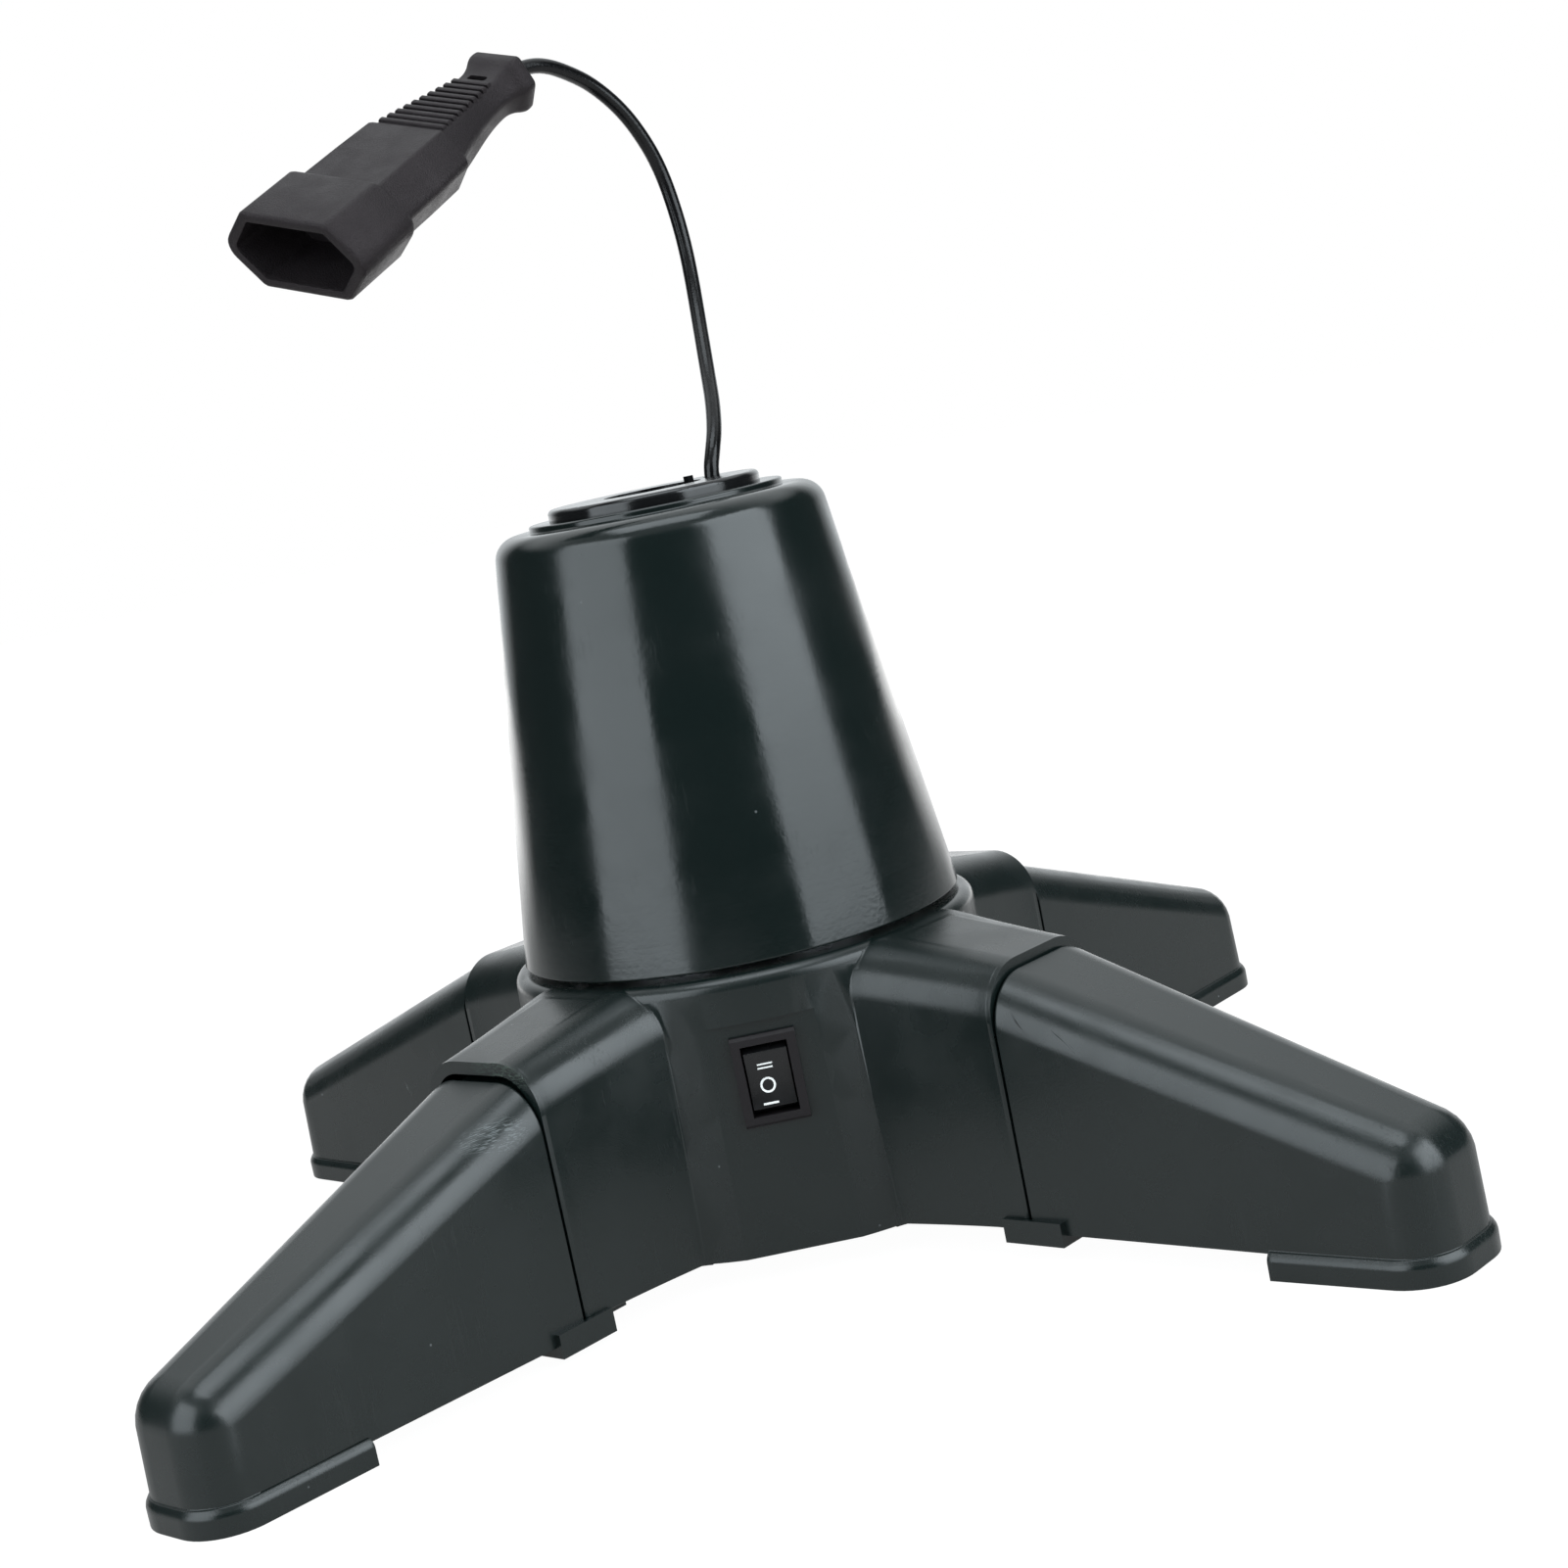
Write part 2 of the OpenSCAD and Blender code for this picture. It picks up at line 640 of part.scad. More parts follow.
module hub_housing() {
    color("darkslategray") difference() {
        union() {
            hub_form();
            around(4) {
                stub_form(0, hub_r - 20, stub_reach, hub_clear);
                stub_blend_form();
                mirror([0, 1, 0]) stub_blend_form();
            }
        }
        difference() {
            union() {
                translate([0, 0, hub_clear - 1]) cylinder(h = 1 + hub_h - plate_t,
                    r1 = hub_foot_r - hub_wall + tan(hub_draft),
                    r2 = hub_r - hub_wall + plate_t * tan(hub_draft));
                around(4) stub_form(hub_wall, hub_foot_r, stub_reach + 1, hub_clear - 1);
            }
            // posts under the plate: cover, motor and brushes
            around(4) {
                translate([cover_boss_at, 0, base_top]) cylinder(r = cover_boss_r, h = hub_h);
                translate([cover_boss_at, -1.2, base_top]) cube([hub_foot_r - cover_boss_at - 1, 2.4, hub_h]);
            }
            at_ears() translate([0, 0, motor_top]) cylinder(r = post_r, h = hub_h);
            at_brush_posts() translate([0, 0, brush_z]) cylinder(r = post_r, h = hub_h);
        }
        translate([0, 0, plate_z - 1]) cylinder(r = hub_bore, h = plate_t + 2);
        translate([0, 0, lower_race_z]) ring(ball_circle_r + race_w / 2 + fit_gap,
            ball_circle_r - race_w / 2 - fit_gap, race_sink + 1);
        around(4) translate([cover_boss_at, 0, base_top - 1]) cylinder(r = cover_screw_hole, h = 15);
        at_ears() translate([0, 0, motor_top - 1]) cylinder(r = 1.8, h = 12);
        at_brush_posts() translate([0, 0, brush_z - 1]) cylinder(r = 1.5, h = 9);
        // flat for the switch, and the switch's cut-out
        at_switch() {
            translate([0, -pad_half, pad_bottom - switch_z]) cube([10, 2 * pad_half, pad_top - pad_bottom]);
            translate([-10, -switch_body_w / 2 - fit_gap, -switch_body_h / 2 - fit_gap])
                cube([20, switch_body_w + 2 * fit_gap, switch_body_h + 2 * fit_gap]);
        }
        at_gland() translate([0, 0, -10]) cylinder(r = gland_r + fit_gap, h = 20);
    }
}

module bottom_cover() {
    rim_t = 2;
    plate_r = hub_foot_r - hub_wall - 0.4;
    color("#20292a") difference() {
        union() {
            translate([0, 0, hub_clear]) cylinder(r = plate_r, h = base_t);
            translate([0, 0, base_top - eps]) ring(cover_boss_at - cover_boss_r - 2,
                cover_boss_at - cover_boss_r - 2 - rim_t, 4);
            translate([0, 0, base_top - eps]) around(6) translate([12, -1, 0]) cube([22, 2, 3]);
            translate([0, 0, base_top - eps]) ring(13, 11, 3);
            rotate(block_at[1]) translate([block_at[0] - block_size[0] / 2, -block_size[1] / 2, base_top - eps])
                cube([block_size[0], block_size[1], block_seat + eps]);
        }
        around(4) translate([cover_boss_at, 0, hub_clear - 1]) {
            cylinder(r = 1.8, h = base_t + 2);
            cylinder(r = 3.4, h = 2.2);
        }
    }
}

module cover_screws() {
    color("silver") around(4) translate([cover_boss_at, 0, hub_clear + 1.2])
        pan_screw(cover_screw_hole - eps, base_t * 4.2, 3, 1.2);
}

module cable_gland() {
    bore = 3.1;
    color("#151718") at_gland() difference() {
        union() {
            translate([0, 0, -hub_wall - 4]) cylinder(r = gland_r, h = hub_wall + 4 + 1);
            translate([0, 0, 0.6]) rotate_extrude() difference() {
                square([gland_r + 2.4, 3]);
                corner_waste([0, 3], [gland_r + 2.4, 3], [gland_r + 2.4, 0], 1);
            }
            translate([0, 0, 3]) cylinder(r1 = gland_r, r2 = gland_r - 1, h = 5);
        }
        translate([0, 0, -20]) cylinder(r = bore, h = 40);
    }
}

block_at = [30, 45];        // radius and angle of the terminal block's centre
block_size = [16, 24, 13];
block_seat = 3;             // height of its seat on the bottom cover

module at_block() {
    rotate(block_at[1]) translate([block_at[0], 0, base_top + block_seat]) children();
}

module terminal_block() {
    color("white") at_block() difference() {
        translate([-block_size[0] / 2, -block_size[1] / 2, 0]) cube(block_size);
        for (i = [-1, 0, 1]) translate([0, i * 8, 0]) {
            translate([-block_size[0], 0, 5.5]) rotate([0, 90, 0]) cylinder(r = 1.8, h = 40, $fn = 24);
            for (s = [-1, 1]) translate([s * 4, 0, 5.5]) cylinder(r = 2, h = 20, $fn = 24);
        }
    }
}

module terminal_screws() {
    color("goldenrod") at_block() for (i = [-1, 0, 1], s = [-1, 1]) translate([s * 4, i * 8, 7.3]) difference() {
        cylinder(r = 1.95, h = 3, $fn = 24);
        translate([-2, -0.3, 2.2]) cube([4, 0.6, 1]);
    }
}

// ---- switch, in its own frame: x out of the flat, y along it, z up ----

switch_body_h = frame_h - 2;
switch_body_w = frame_w - 2;
rocker_open_h = frame_h - 2 * frame_rail_h;
rocker_open_w = frame_w - 2 * frame_rail_w;

module switch_frame() {
    bevel = 0.7;
    color("#101112") at_switch() difference() {
        union() {
            rotate([90, 0, 0]) translate([0, 0, -frame_w / 2]) linear_extrude(frame_w)
                polygon([[0, -frame_h / 2], [frame_t - bevel, -frame_h / 2], [frame_t, bevel - frame_h / 2],
                         [frame_t, frame_h / 2 - bevel], [frame_t - bevel, frame_h / 2], [0, frame_h / 2]]);
            translate([-body_depth, -switch_body_w / 2, -switch_body_h / 2])
                cube([body_depth + eps, switch_body_w, switch_body_h]);
        }
        translate([-body_depth + 2, -rocker_open_w / 2, -rocker_open_h / 2])
            cube([body_depth + 5, rocker_open_w, rocker_open_h]);
        translate([-pivot_in, 0, 0]) rotate([90, 0, 0]) translate([0, 0, -switch_body_w])
            cylinder(r = 1 + running_gap, h = 2 * switch_body_w, $fn = 32);
        for (z = TAB_ZS) translate([-body_depth - 1, -tab_w / 2 - eps, z - tab_t / 2 - eps])
            cube([2 + eps, tab_w + 2 * eps, tab_t + 2 * eps]);
    }
}

module switch_rocker() {
    half_w = rocker_open_w / 2 - rocker_play;
    front = pivot_in + frame_t;
    end_r = rocker_open_h / 2 - rocker_play;
    dip = end_r * tan(rocker_tilt);     // each half of its front lies flat when pressed
    color("#1b1c1d") at_switch() translate([-pivot_in, 0, 0]) rotate([90, 0, 0]) {
        translate([0, 0, -half_w]) linear_extrude(2 * half_w) intersection() {
            circle(end_r);
            polygon([[-3, -5], [-3, 5], [0, end_r], [front - 0.1, end_r], [front - 0.1 - dip, 0],
                     [front - 0.1, -end_r], [0, -end_r]]);
        }
        translate([0, 0, -switch_body_w / 2 + 0.2]) cylinder(r = 1, h = switch_body_w - 0.4, $fn = 32);
    }
}

module switch_terminals() {
    color("goldenrod") at_switch() for (z = TAB_ZS) difference() {
        translate([-body_depth - tab_len, -tab_w / 2, z - tab_t / 2]) cube([tab_len + 1, tab_w, tab_t]);
        translate([-body_depth - 4.5, 0, z - 2]) cylinder(r = 0.8, h = 4, $fn = 24);
    }
}

// ---- legs ----

tip_x = leg_reach - rim_out - tip_round;       // centre of the tip's rounding
rim_x = leg_reach - rim_len;                    // straight end of the foot's rim

// Half the width of a leg at distance x from the axis
function leg_half_at(x) = stub_half + (tip_half - stub_half) * (x - leg_start) / (tip_x - leg_start);

// A leg's form: from a stub's arch to a rounded tip, shrunk by inset
module leg_form(inset, sag, joint_z, tip_z) {
    start = leg_start + (inset > 0 ? leg_wall : 0);
    top_z = stub_end_z - leg_step - sag - inset;
    hull() {
        translate([start, 0, top_z]) rotate([90, 0, 90]) linear_extrude(0.5)
            arch(stub_half - inset, stub_round - inset, top_z - joint_z);
        for (s = [-1, 1]) translate([tip_x, s * (tip_half - tip_round), 0]) {
            translate([0, 0, tip_h - sag_at_tip * sag - tip_round]) sphere(tip_round - inset, $fn = 32);
            translate([0, 0, tip_z]) cylinder(r = tip_round + tip_draft - inset, h = 1, $fn = 32);
        }
    }
}

// Rim round a foot, solid: it is as wide as the leg and rim_out more
module rim_form() {
    soften = 1.4;
    half = leg_half_at(rim_x) + rim_out;
    hull() {
        for (s = [-1, 1]) translate([tip_x, s * (tip_half - tip_round), 0]) {
            cylinder(r = tip_round + rim_out, h = rim_h - soften, $fn = 48);
            cylinder(r = tip_round + rim_out - soften * 0.7, h = rim_h, $fn = 48);
        }
        translate([rim_x, -half, 0]) cube([1, 2 * half, rim_h - soften]);
        translate([rim_x, 0.7 * soften - half, 0]) cube([1, 2 * half - 1.4 * soften, rim_h]);
    }
}

// Bar under the joint: its lips hold the stub's sides, its floor carries the stub
module hook_bar(sag) {
    x0 = stub_reach - hook_len * 0.42;
    floor_z = hub_clear - sag - hook_seat;
    translate([x0, 0, floor_z - hook_floor]) difference() {
        translate([0, -stub_half - hook_out, 0]) cube([hook_len, stub_w + 2 * hook_out, hook_h]);
        translate([-1, -stub_half - hook_seat, hook_floor]) cube([leg_start - x0 + 1, stub_w + 2 * hook_seat, hook_h]);
        translate([-1, -stub_half + leg_wall, hook_floor]) cube([hook_len + 2, stub_w - 2 * leg_wall, hook_h]);
    }
}

module leg(angle, sag) {
    inner = hub_wall + tongue_play;
    color("darkslategray") rotate(angle) {
        difference() {
            union() {
                leg_form(0, sag, hub_clear - sag, rim_h - 1);
                stub_form(inner, stub_reach - tongue, leg_start + 3, hub_clear - sag, fall = sag);
                rim_form();
            }
            leg_form(leg_wall, sag, -5, -5);
            stub_form(inner + leg_wall, stub_reach - tongue - 1, leg_start + 4, -1, fall = sag);
        }
        hook_bar(sag);
        // cross ribs inside the leg
        for (x = [1 / 3, 2 / 3] * (rim_x - leg_start)) intersection() {
            leg_form(leg_wall - eps, sag, hub_clear + 2, hub_clear + 2);
            translate([leg_start + x, -stub_half, 0]) cube([1.8, stub_w, stub_end_z]);
        }
    }
}

module front_left_leg() { leg(LEG_ANGLES[0], LEG_SAGS[0]); }
module front_right_leg() { leg(LEG_ANGLES[1], LEG_SAGS[1]); }
module back_left_leg() { leg(LEG_ANGLES[2], LEG_SAGS[2]); }
module back_right_leg() { leg(LEG_ANGLES[3], LEG_SAGS[3]); }

// ---- lead and lamp socket ----

function unit(v) = v / norm(v);

// Tube of radius r along points, with the given number of sides
module tube_along(points, r, sides) {
    last = len(points) - 1;
    tangents = [for (i = [0 : last]) unit(points[min(i + 1, last)] - points[max(i - 1, 0)])];
    rings = [for (i = [0 : last]) let (x = unit(cross([1, 0, 0], tangents[i])), y = cross(tangents[i], x))
        for (k = [0 : sides - 1]) points[i] + r * (x * cos(k * 360 / sides) + y * sin(k * 360 / sides))];
    walls = [for (i = [0 : last - 1], k = [0 : sides - 1], half = [0, 1]) let (n = (k + 1) % sides)
        half == 0 ? [i * sides + k, (i + 1) * sides + k, (i + 1) * sides + n]
                  : [i * sides + k, (i + 1) * sides + n, i * sides + n]];
    ends = [[for (k = [0 : sides - 1]) k], [for (k = [sides - 1 : -1 : 0]) last * sides + k]];
    polyhedron(rings, concat(walls, ends));
}

module socket_lead() {
    color("#0c0d0d") tube_along(LEAD_ROUTE, lead_r, 8);
}

// Cable tie that holds the lead to the socket tube
module lead_tie() {
    tie_t = 1.1;
    color("white") translate([0, 0, cover_z + cover_h / 2]) linear_extrude(3) difference() {
        hull() {
            circle(tube_r + tie_t);
            at_polar(lead_at_r, lead_angle) circle(lead_r + tie_t + fit_gap);
        }
        hull() {
            circle(tube_r + 0.01);
            at_polar(lead_at_r, lead_angle) circle(lead_r + fit_gap);
        }
    }
}

// ---- lamp socket, in its own frame: z out of the mouth, x along its width ----

module at_socket() {
    translate(socket_at) rotate([90 + socket_dip, 0, 0]) rotate(socket_roll) children();
}

// Six-sided section with pointed ends: half width a, half length of its flat sides b, half height h
function hexagon(a, b, h) = [[a, 0], [b, h], [-b, h], [-a, 0], [-b, -h], [b, -h]];

// Solid through hexagons given as [z, a, b, h]
module hexagon_loft(sections) {
    last = len(sections) - 1;
    points = [for (s = sections) for (p = hexagon(s[1], s[2], s[3])) [p[0], p[1], s[0]]];
    walls = [for (i = [0 : last - 1], k = [0 : 5]) let (n = (k + 1) % 6)
        [i * 6 + k, (i + 1) * 6 + k, (i + 1) * 6 + n, i * 6 + n]];
    polyhedron(points, concat([[for (k = [0 : 5]) k]], walls, [[for (k = [5 : -1 : 0]) last * 6 + k]]));
}

mouth_a = mouth_w / 2;
mouth_b = mouth_a * 0.585;
mouth_half = mouth_h / 2;
recess = 17;
body_end = 46.5;              // where the body ends and the ribbed neck starts
pin_spacing = 19;
pin_hole_r = 2.4;
contact_r = 2.9;
// sections of the body behind the shroud, from its end
BODY = [[-body_end, 16.4, 10.4, 7.6], [-body_end + 4, 17.1, 11, 7.9], [-shroud_len + 1, 18.1, 11.6, 7.9]];
// the neck's half widths and heights, at distances behind the mouth
NECK = [[-body_end, 16.4, 10.4, 7.6], [-52, 14.2, 9.6, 7], [-58, 12.2, 8.4, 6.4], [-64, 9.6, 6.6, 5.8],
        [-70, 8, 5.4, 5.3], [-76, 7.9, 5.4, 5.3], [-79.5, 9.1, 6.1, 6.6], [-socket_len, 9.1, 6.1, 6.6]];
rib_count = 9;
rib_pitch = 2.7;

function neck_at(z, i = 0) = NECK[i + 1][0] <= z
    ? NECK[i] + (NECK[i + 1] - NECK[i]) * (NECK[i][0] - z) / (NECK[i][0] - NECK[i + 1][0])
    : neck_at(z, i + 1);

module lamp_socket() {
    color("#1a1b1c") at_socket() difference() {
        union() {
            rotate([180, 0, 0]) linear_extrude(shroud_len) polygon(hexagon(mouth_a, mouth_b, mouth_half));
            hexagon_loft(BODY);
            hexagon_loft([for (i = [len(NECK) - 1 : -1 : 0]) NECK[i]]);
            for (i = [0 : rib_count - 1]) let (z = -body_end - 1.6 - i * rib_pitch, s = neck_at(z))
                translate([-s[2] * 0.95, -s[3] - 0.7, z - 0.7])
                    cube([s[2] * 1.9, 2 * s[3] + 1.4, 1.4]);
        }
        translate([0, 0, -recess]) linear_extrude(recess + 1)
            polygon(hexagon(mouth_a - 1.35 * mouth_wall, mouth_b - 0.5 * mouth_wall, mouth_half - mouth_wall * 0.85));
        for (s = [-1, 1]) translate([s * pin_spacing / 2, 0, -recess - 22]) {
            cylinder(r = pin_hole_r, h = 23, $fn = 32);
            cylinder(r = contact_r, h = 18, $fn = 32);
        }
        translate([0, 0, -socket_len - 1]) cylinder(r = lead_r + fit_gap, h = lead_in + 1, $fn = 32);
        translate([-2.8, -10, -75]) cube([5.6, 20, 1.8]);
    }
}

module socket_contacts() {
    color("goldenrod") at_socket() for (s = [-1, 1]) translate([s * pin_spacing / 2, 0, -recess - 22])
        difference() {
            cylinder(r = contact_r - eps, h = 18, $fn = 32);
            translate([0, 0, 2]) cylinder(r = 2.1, h = 17, $fn = 32);
        }
}

cone_cover();
pole_socket();
turntable();
socket_screws();
upper_race();
ball_cage();
bearing_balls();
lower_race();
drive_gear();
gear_screws();
slip_rings();
pinion();
motor_shaft();
motor_can();
motor_plate();
motor_screws();
brush_holder();
brush_springs();
brush_screws();
hub_housing();
bottom_cover();
cover_screws();
cable_gland();
terminal_block();
terminal_screws();
switch_frame();
switch_rocker();
switch_terminals();
front_left_leg();
front_right_leg();
back_left_leg();
back_right_leg();
socket_lead();
lead_tie();
lamp_socket();
socket_contacts();
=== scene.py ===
"""Rotating tree stand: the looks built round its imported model.

Lengths are in metres and every piece stands in the model's own frame: Z up along the turning axis,
the floor at z = 0, the legs along X and Y, and the switch between +X and -Y.
"""

from __future__ import annotations

import json
import logging
import math
from dataclasses import dataclass, field
from enum import Enum
from typing import Callable, Iterable, Sequence

import bmesh
import bpy
from mathutils import Matrix, Vector

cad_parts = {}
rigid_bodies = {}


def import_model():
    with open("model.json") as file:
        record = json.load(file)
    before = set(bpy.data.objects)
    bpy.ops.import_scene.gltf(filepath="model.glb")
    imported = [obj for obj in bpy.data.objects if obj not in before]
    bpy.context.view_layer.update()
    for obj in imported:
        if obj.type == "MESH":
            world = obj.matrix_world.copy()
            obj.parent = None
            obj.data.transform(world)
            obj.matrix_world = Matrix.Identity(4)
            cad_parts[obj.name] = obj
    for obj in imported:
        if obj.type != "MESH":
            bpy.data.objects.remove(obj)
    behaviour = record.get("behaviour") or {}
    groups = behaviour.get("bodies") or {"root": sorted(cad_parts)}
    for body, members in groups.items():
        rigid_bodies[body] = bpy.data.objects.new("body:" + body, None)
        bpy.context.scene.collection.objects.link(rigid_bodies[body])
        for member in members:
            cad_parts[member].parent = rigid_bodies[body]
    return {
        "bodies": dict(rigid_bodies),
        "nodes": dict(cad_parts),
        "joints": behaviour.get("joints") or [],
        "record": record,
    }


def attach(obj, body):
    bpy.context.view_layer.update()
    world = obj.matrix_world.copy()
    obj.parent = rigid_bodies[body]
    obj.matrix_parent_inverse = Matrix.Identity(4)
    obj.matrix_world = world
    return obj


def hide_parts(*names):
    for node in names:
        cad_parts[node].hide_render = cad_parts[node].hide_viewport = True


LOG = logging.getLogger("tree_stand")
MM = 0.001


# ---- helpers ----


def linear(hex_colour: str) -> tuple[float, float, float, float]:
    """Turns an sRGB hex colour into a linear one.

    Args:
        hex_colour: six hex digits.

    Returns:
        Red, green, blue and an alpha of 1.
    """
    channels = [int(hex_colour[i : i + 2], 16) / 255 for i in (0, 2, 4)]
    r, g, b = [c / 12.92 if c <= 0.04045 else ((c + 0.055) / 1.055) ** 2.4 for c in channels]
    return (r, g, b, 1.0)


def add_node(tree: bpy.types.NodeTree, kind: str, links: dict | None = None, **settings) -> bpy.types.Node:
    """Adds a node with its settings and links.

    Args:
        tree: the tree that gets it.
        kind: the node's type name.
        links: input name or index to an output socket or a plain value.
        **settings: attributes of the node.

    Returns:
        The new node.
    """
    made = tree.nodes.new(kind)
    for name, value in settings.items():
        setattr(made, name, value)
    for name, value in (links or {}).items():
        if isinstance(value, bpy.types.NodeSocket):
            tree.links.new(value, made.inputs[name])
        else:
            made.inputs[name].default_value = value
    return made


def new_piece(name: str, mesh: bpy.types.Mesh) -> bpy.types.Object:
    """Puts a mesh into the scene as a piece at the origin.

    Args:
        name: the piece's name.
        mesh: its mesh.

    Returns:
        The piece.
    """
    piece = bpy.data.objects.new(name, mesh)
    bpy.context.scene.collection.objects.link(piece)
    return piece


def mesh_of(name: str, verts: Sequence, faces: Sequence) -> bpy.types.Mesh:
    """Makes a mesh and turns its faces outwards.

    Args:
        name: the mesh's name.
        verts: its points.
        faces: its faces, as the points' numbers.

    Returns:
        The mesh, with its doubles merged.
    """
    mesh = bpy.data.meshes.new(name)
    mesh.from_pydata([tuple(v) for v in verts], [], [tuple(f) for f in faces])
    work = bmesh.new()
    work.from_mesh(mesh)
    bmesh.ops.remove_doubles(work, verts=work.verts, dist=1e-7)
    bmesh.ops.recalc_face_normals(work, faces=work.faces)
    work.to_mesh(mesh)
    work.free()
    return mesh


def loft(rings: Sequence[Sequence]) -> tuple[list, list]:
    """Joins rings of points into one closed skin.

    Args:
        rings: the sections in order, with equally many points each.

    Returns:
        Its points and its faces, with both ends capped.
    """
    count = len(rings[0])
    last = (len(rings) - 1) * count
    faces = [
        (i + k, i + (k + 1) % count, i + count + (k + 1) % count, i + count + k)
        for i in range(0, last, count)
        for k in range(count)
    ]
    faces += [tuple(range(count)), tuple(range(last + count - 1, last - 1, -1))]
    return [point for ring in rings for point in ring], faces


def smooth(mesh: bpy.types.Mesh, crease_deg: float = 32.0) -> None:
    """Shades a mesh smooth, with creases where its faces meet at more than an angle."""
    mesh.shade_smooth()
    mesh.set_sharp_from_angle(angle=math.radians(crease_deg))


def settle(piece: bpy.types.Object, crease_deg: float | None = None) -> None:
    """Turns a piece's modifiers into plain mesh.

    Args:
        piece: the piece, whose modifiers are applied and removed.
        crease_deg: shade smooth up to this angle, or leave the shading as it is.
    """
    bpy.context.view_layer.update()
    graph = bpy.context.evaluated_depsgraph_get()
    done = bpy.data.meshes.new_from_object(piece.evaluated_get(graph), depsgraph=graph)
    piece.modifiers.clear()
    old = piece.data
    piece.data = done
    done.name = piece.name
    bpy.data.meshes.remove(old)
    if crease_deg is not None:
        smooth(done, crease_deg)


def dress(piece: bpy.types.Object, material: bpy.types.Material) -> None:
    """Gives a piece one material."""
    piece.data.materials.clear()
    piece.data.materials.append(material)


def round_level(work: bmesh.types.BMesh, z: float, beyond: float, width: float) -> None:
    """Rounds the sharp level edges at one height.

    Args:
        work: the mesh.
        z: the edges' height.
        beyond: only edges at least this far from the axis.
        width: width of the rounding.
    """
    same_height = 0.02 * MM
    least_angle = math.radians(20)
    chosen = []
    for side in work.edges:
        ends = [v.co for v in side.verts]
        level = all(abs(co.z - z) < same_height and math.hypot(co.x, co.y) > beyond for co in ends)
        if level and len(side.link_faces) == 2 and side.calc_face_angle(0.0) > least_angle:
            chosen.append(side)
    bmesh.ops.bevel(
        work,
        geom=chosen,
        offset=width,
        segments=4,
        profile=0.5,
        affect="EDGES",
        clamp_overlap=True,
        miter_outer="ARC",
    )


def softened_copy(
    node: str, name: str, edge: float, rims: Sequence[tuple[float, float, float]] = ()
) -> bpy.types.Object:
    """Copies a model node, merges it and rounds its sharp edges as a mould would.

    Args:
        node: the model's node.
        name: the new piece's name.
        edge: width of the rounding.
        rims: height, least distance from the axis and width of level edges that are rounder.

    Returns:
        The new piece, which stands for the node.
    """
    crease_deg = 30.0
    flat_deg = 0.6
    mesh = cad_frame()["nodes"][node].data.copy()
    work = bmesh.new()
    work.from_mesh(mesh)
    bmesh.ops.remove_doubles(work, verts=work.verts, dist=0.002 * MM)
    bmesh.ops.dissolve_degenerate(work, dist=0.001 * MM, edges=work.edges)
    bmesh.ops.dissolve_limit(
        work,
        angle_limit=math.radians(flat_deg),
        use_dissolve_boundaries=False,
        verts=work.verts,
        edges=work.edges,
    )
    for z, beyond, width in rims:
        round_level(work, z, beyond, width)
    work.to_mesh(mesh)
    work.free()
    piece = new_piece(name, mesh)
    bevel = piece.modifiers.new("edge", "BEVEL")
    bevel.width = edge
    bevel.segments = 3
    bevel.limit_method = "ANGLE"
    bevel.angle_limit = math.radians(crease_deg)
    bevel.use_clamp_overlap = True
    bevel.harden_normals = False
    bevel.miter_outer = "MITER_ARC"
    settle(piece, crease_deg + 8)
    even = piece.modifiers.new("even", "WEIGHTED_NORMAL")
    even.weight = 90
    even.keep_sharp = True
    settle(piece)
    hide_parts(node)
    return piece


def lathe(name: str, profile: Sequence[tuple[float, float]], steps: int) -> bpy.types.Mesh:
    """Turns a closed profile of radius and height round the axis.

    Args:
        name: the mesh's name.
        profile: points of the section, in order, none on the axis.
        steps: faces round the axis.

    Returns:
        A closed mesh.
    """
    count = len(profile)
    verts = []
    for i in range(steps):
        turn = 2 * math.pi * i / steps
        verts += [(r * math.cos(turn), r * math.sin(turn), z) for r, z in profile]
    faces = []
    for i in range(steps):
        j = (i + 1) % steps
        for k in range(count):
            m = (k + 1) % count
            faces.append((i * count + k, j * count + k, j * count + m, i * count + m))
    return mesh_of(name, verts, faces)


def rounded(
    points: Sequence[tuple[float, float]], radii: Sequence[float], steps: int
) -> list[tuple[float, float]]:
    """Rounds the corners of a closed profile.

    Args:
        points: its corners.
        radii: the rounding of each corner, 0 for none.
        steps: faces in each rounding.

    Returns:
        The profile's points.
    """
    out: list[tuple[float, float]] = []
    n = len(points)
    for i, (corner, radius) in enumerate(zip(points, radii)):
        p = Vector(corner)
        if radius <= 0:
            out.append(corner)
            continue
        a = (Vector(points[i - 1]) - p).normalized()
        b = (Vector(points[(i + 1) % n]) - p).normalized()
        half = math.acos(max(-1.0, min(1.0, a.dot(b)))) / 2
        reach = radius / math.tan(half)
        centre = p + (a + b).normalized() * radius / math.sin(half)
        start = (p + a * reach) - centre
        end = (p + b * reach) - centre
        sweep = start.angle_signed(end)
        for k in range(steps + 1):
            turn = -sweep * k / steps
            c, s = math.cos(turn), math.sin(turn)
            out.append((centre.x + start.x * c - start.y * s, centre.y + start.x * s + start.y * c))
    return out


class Row(Enum):
    """How repeated pieces are set out."""

    RING = "ring"
    LINE = "line"


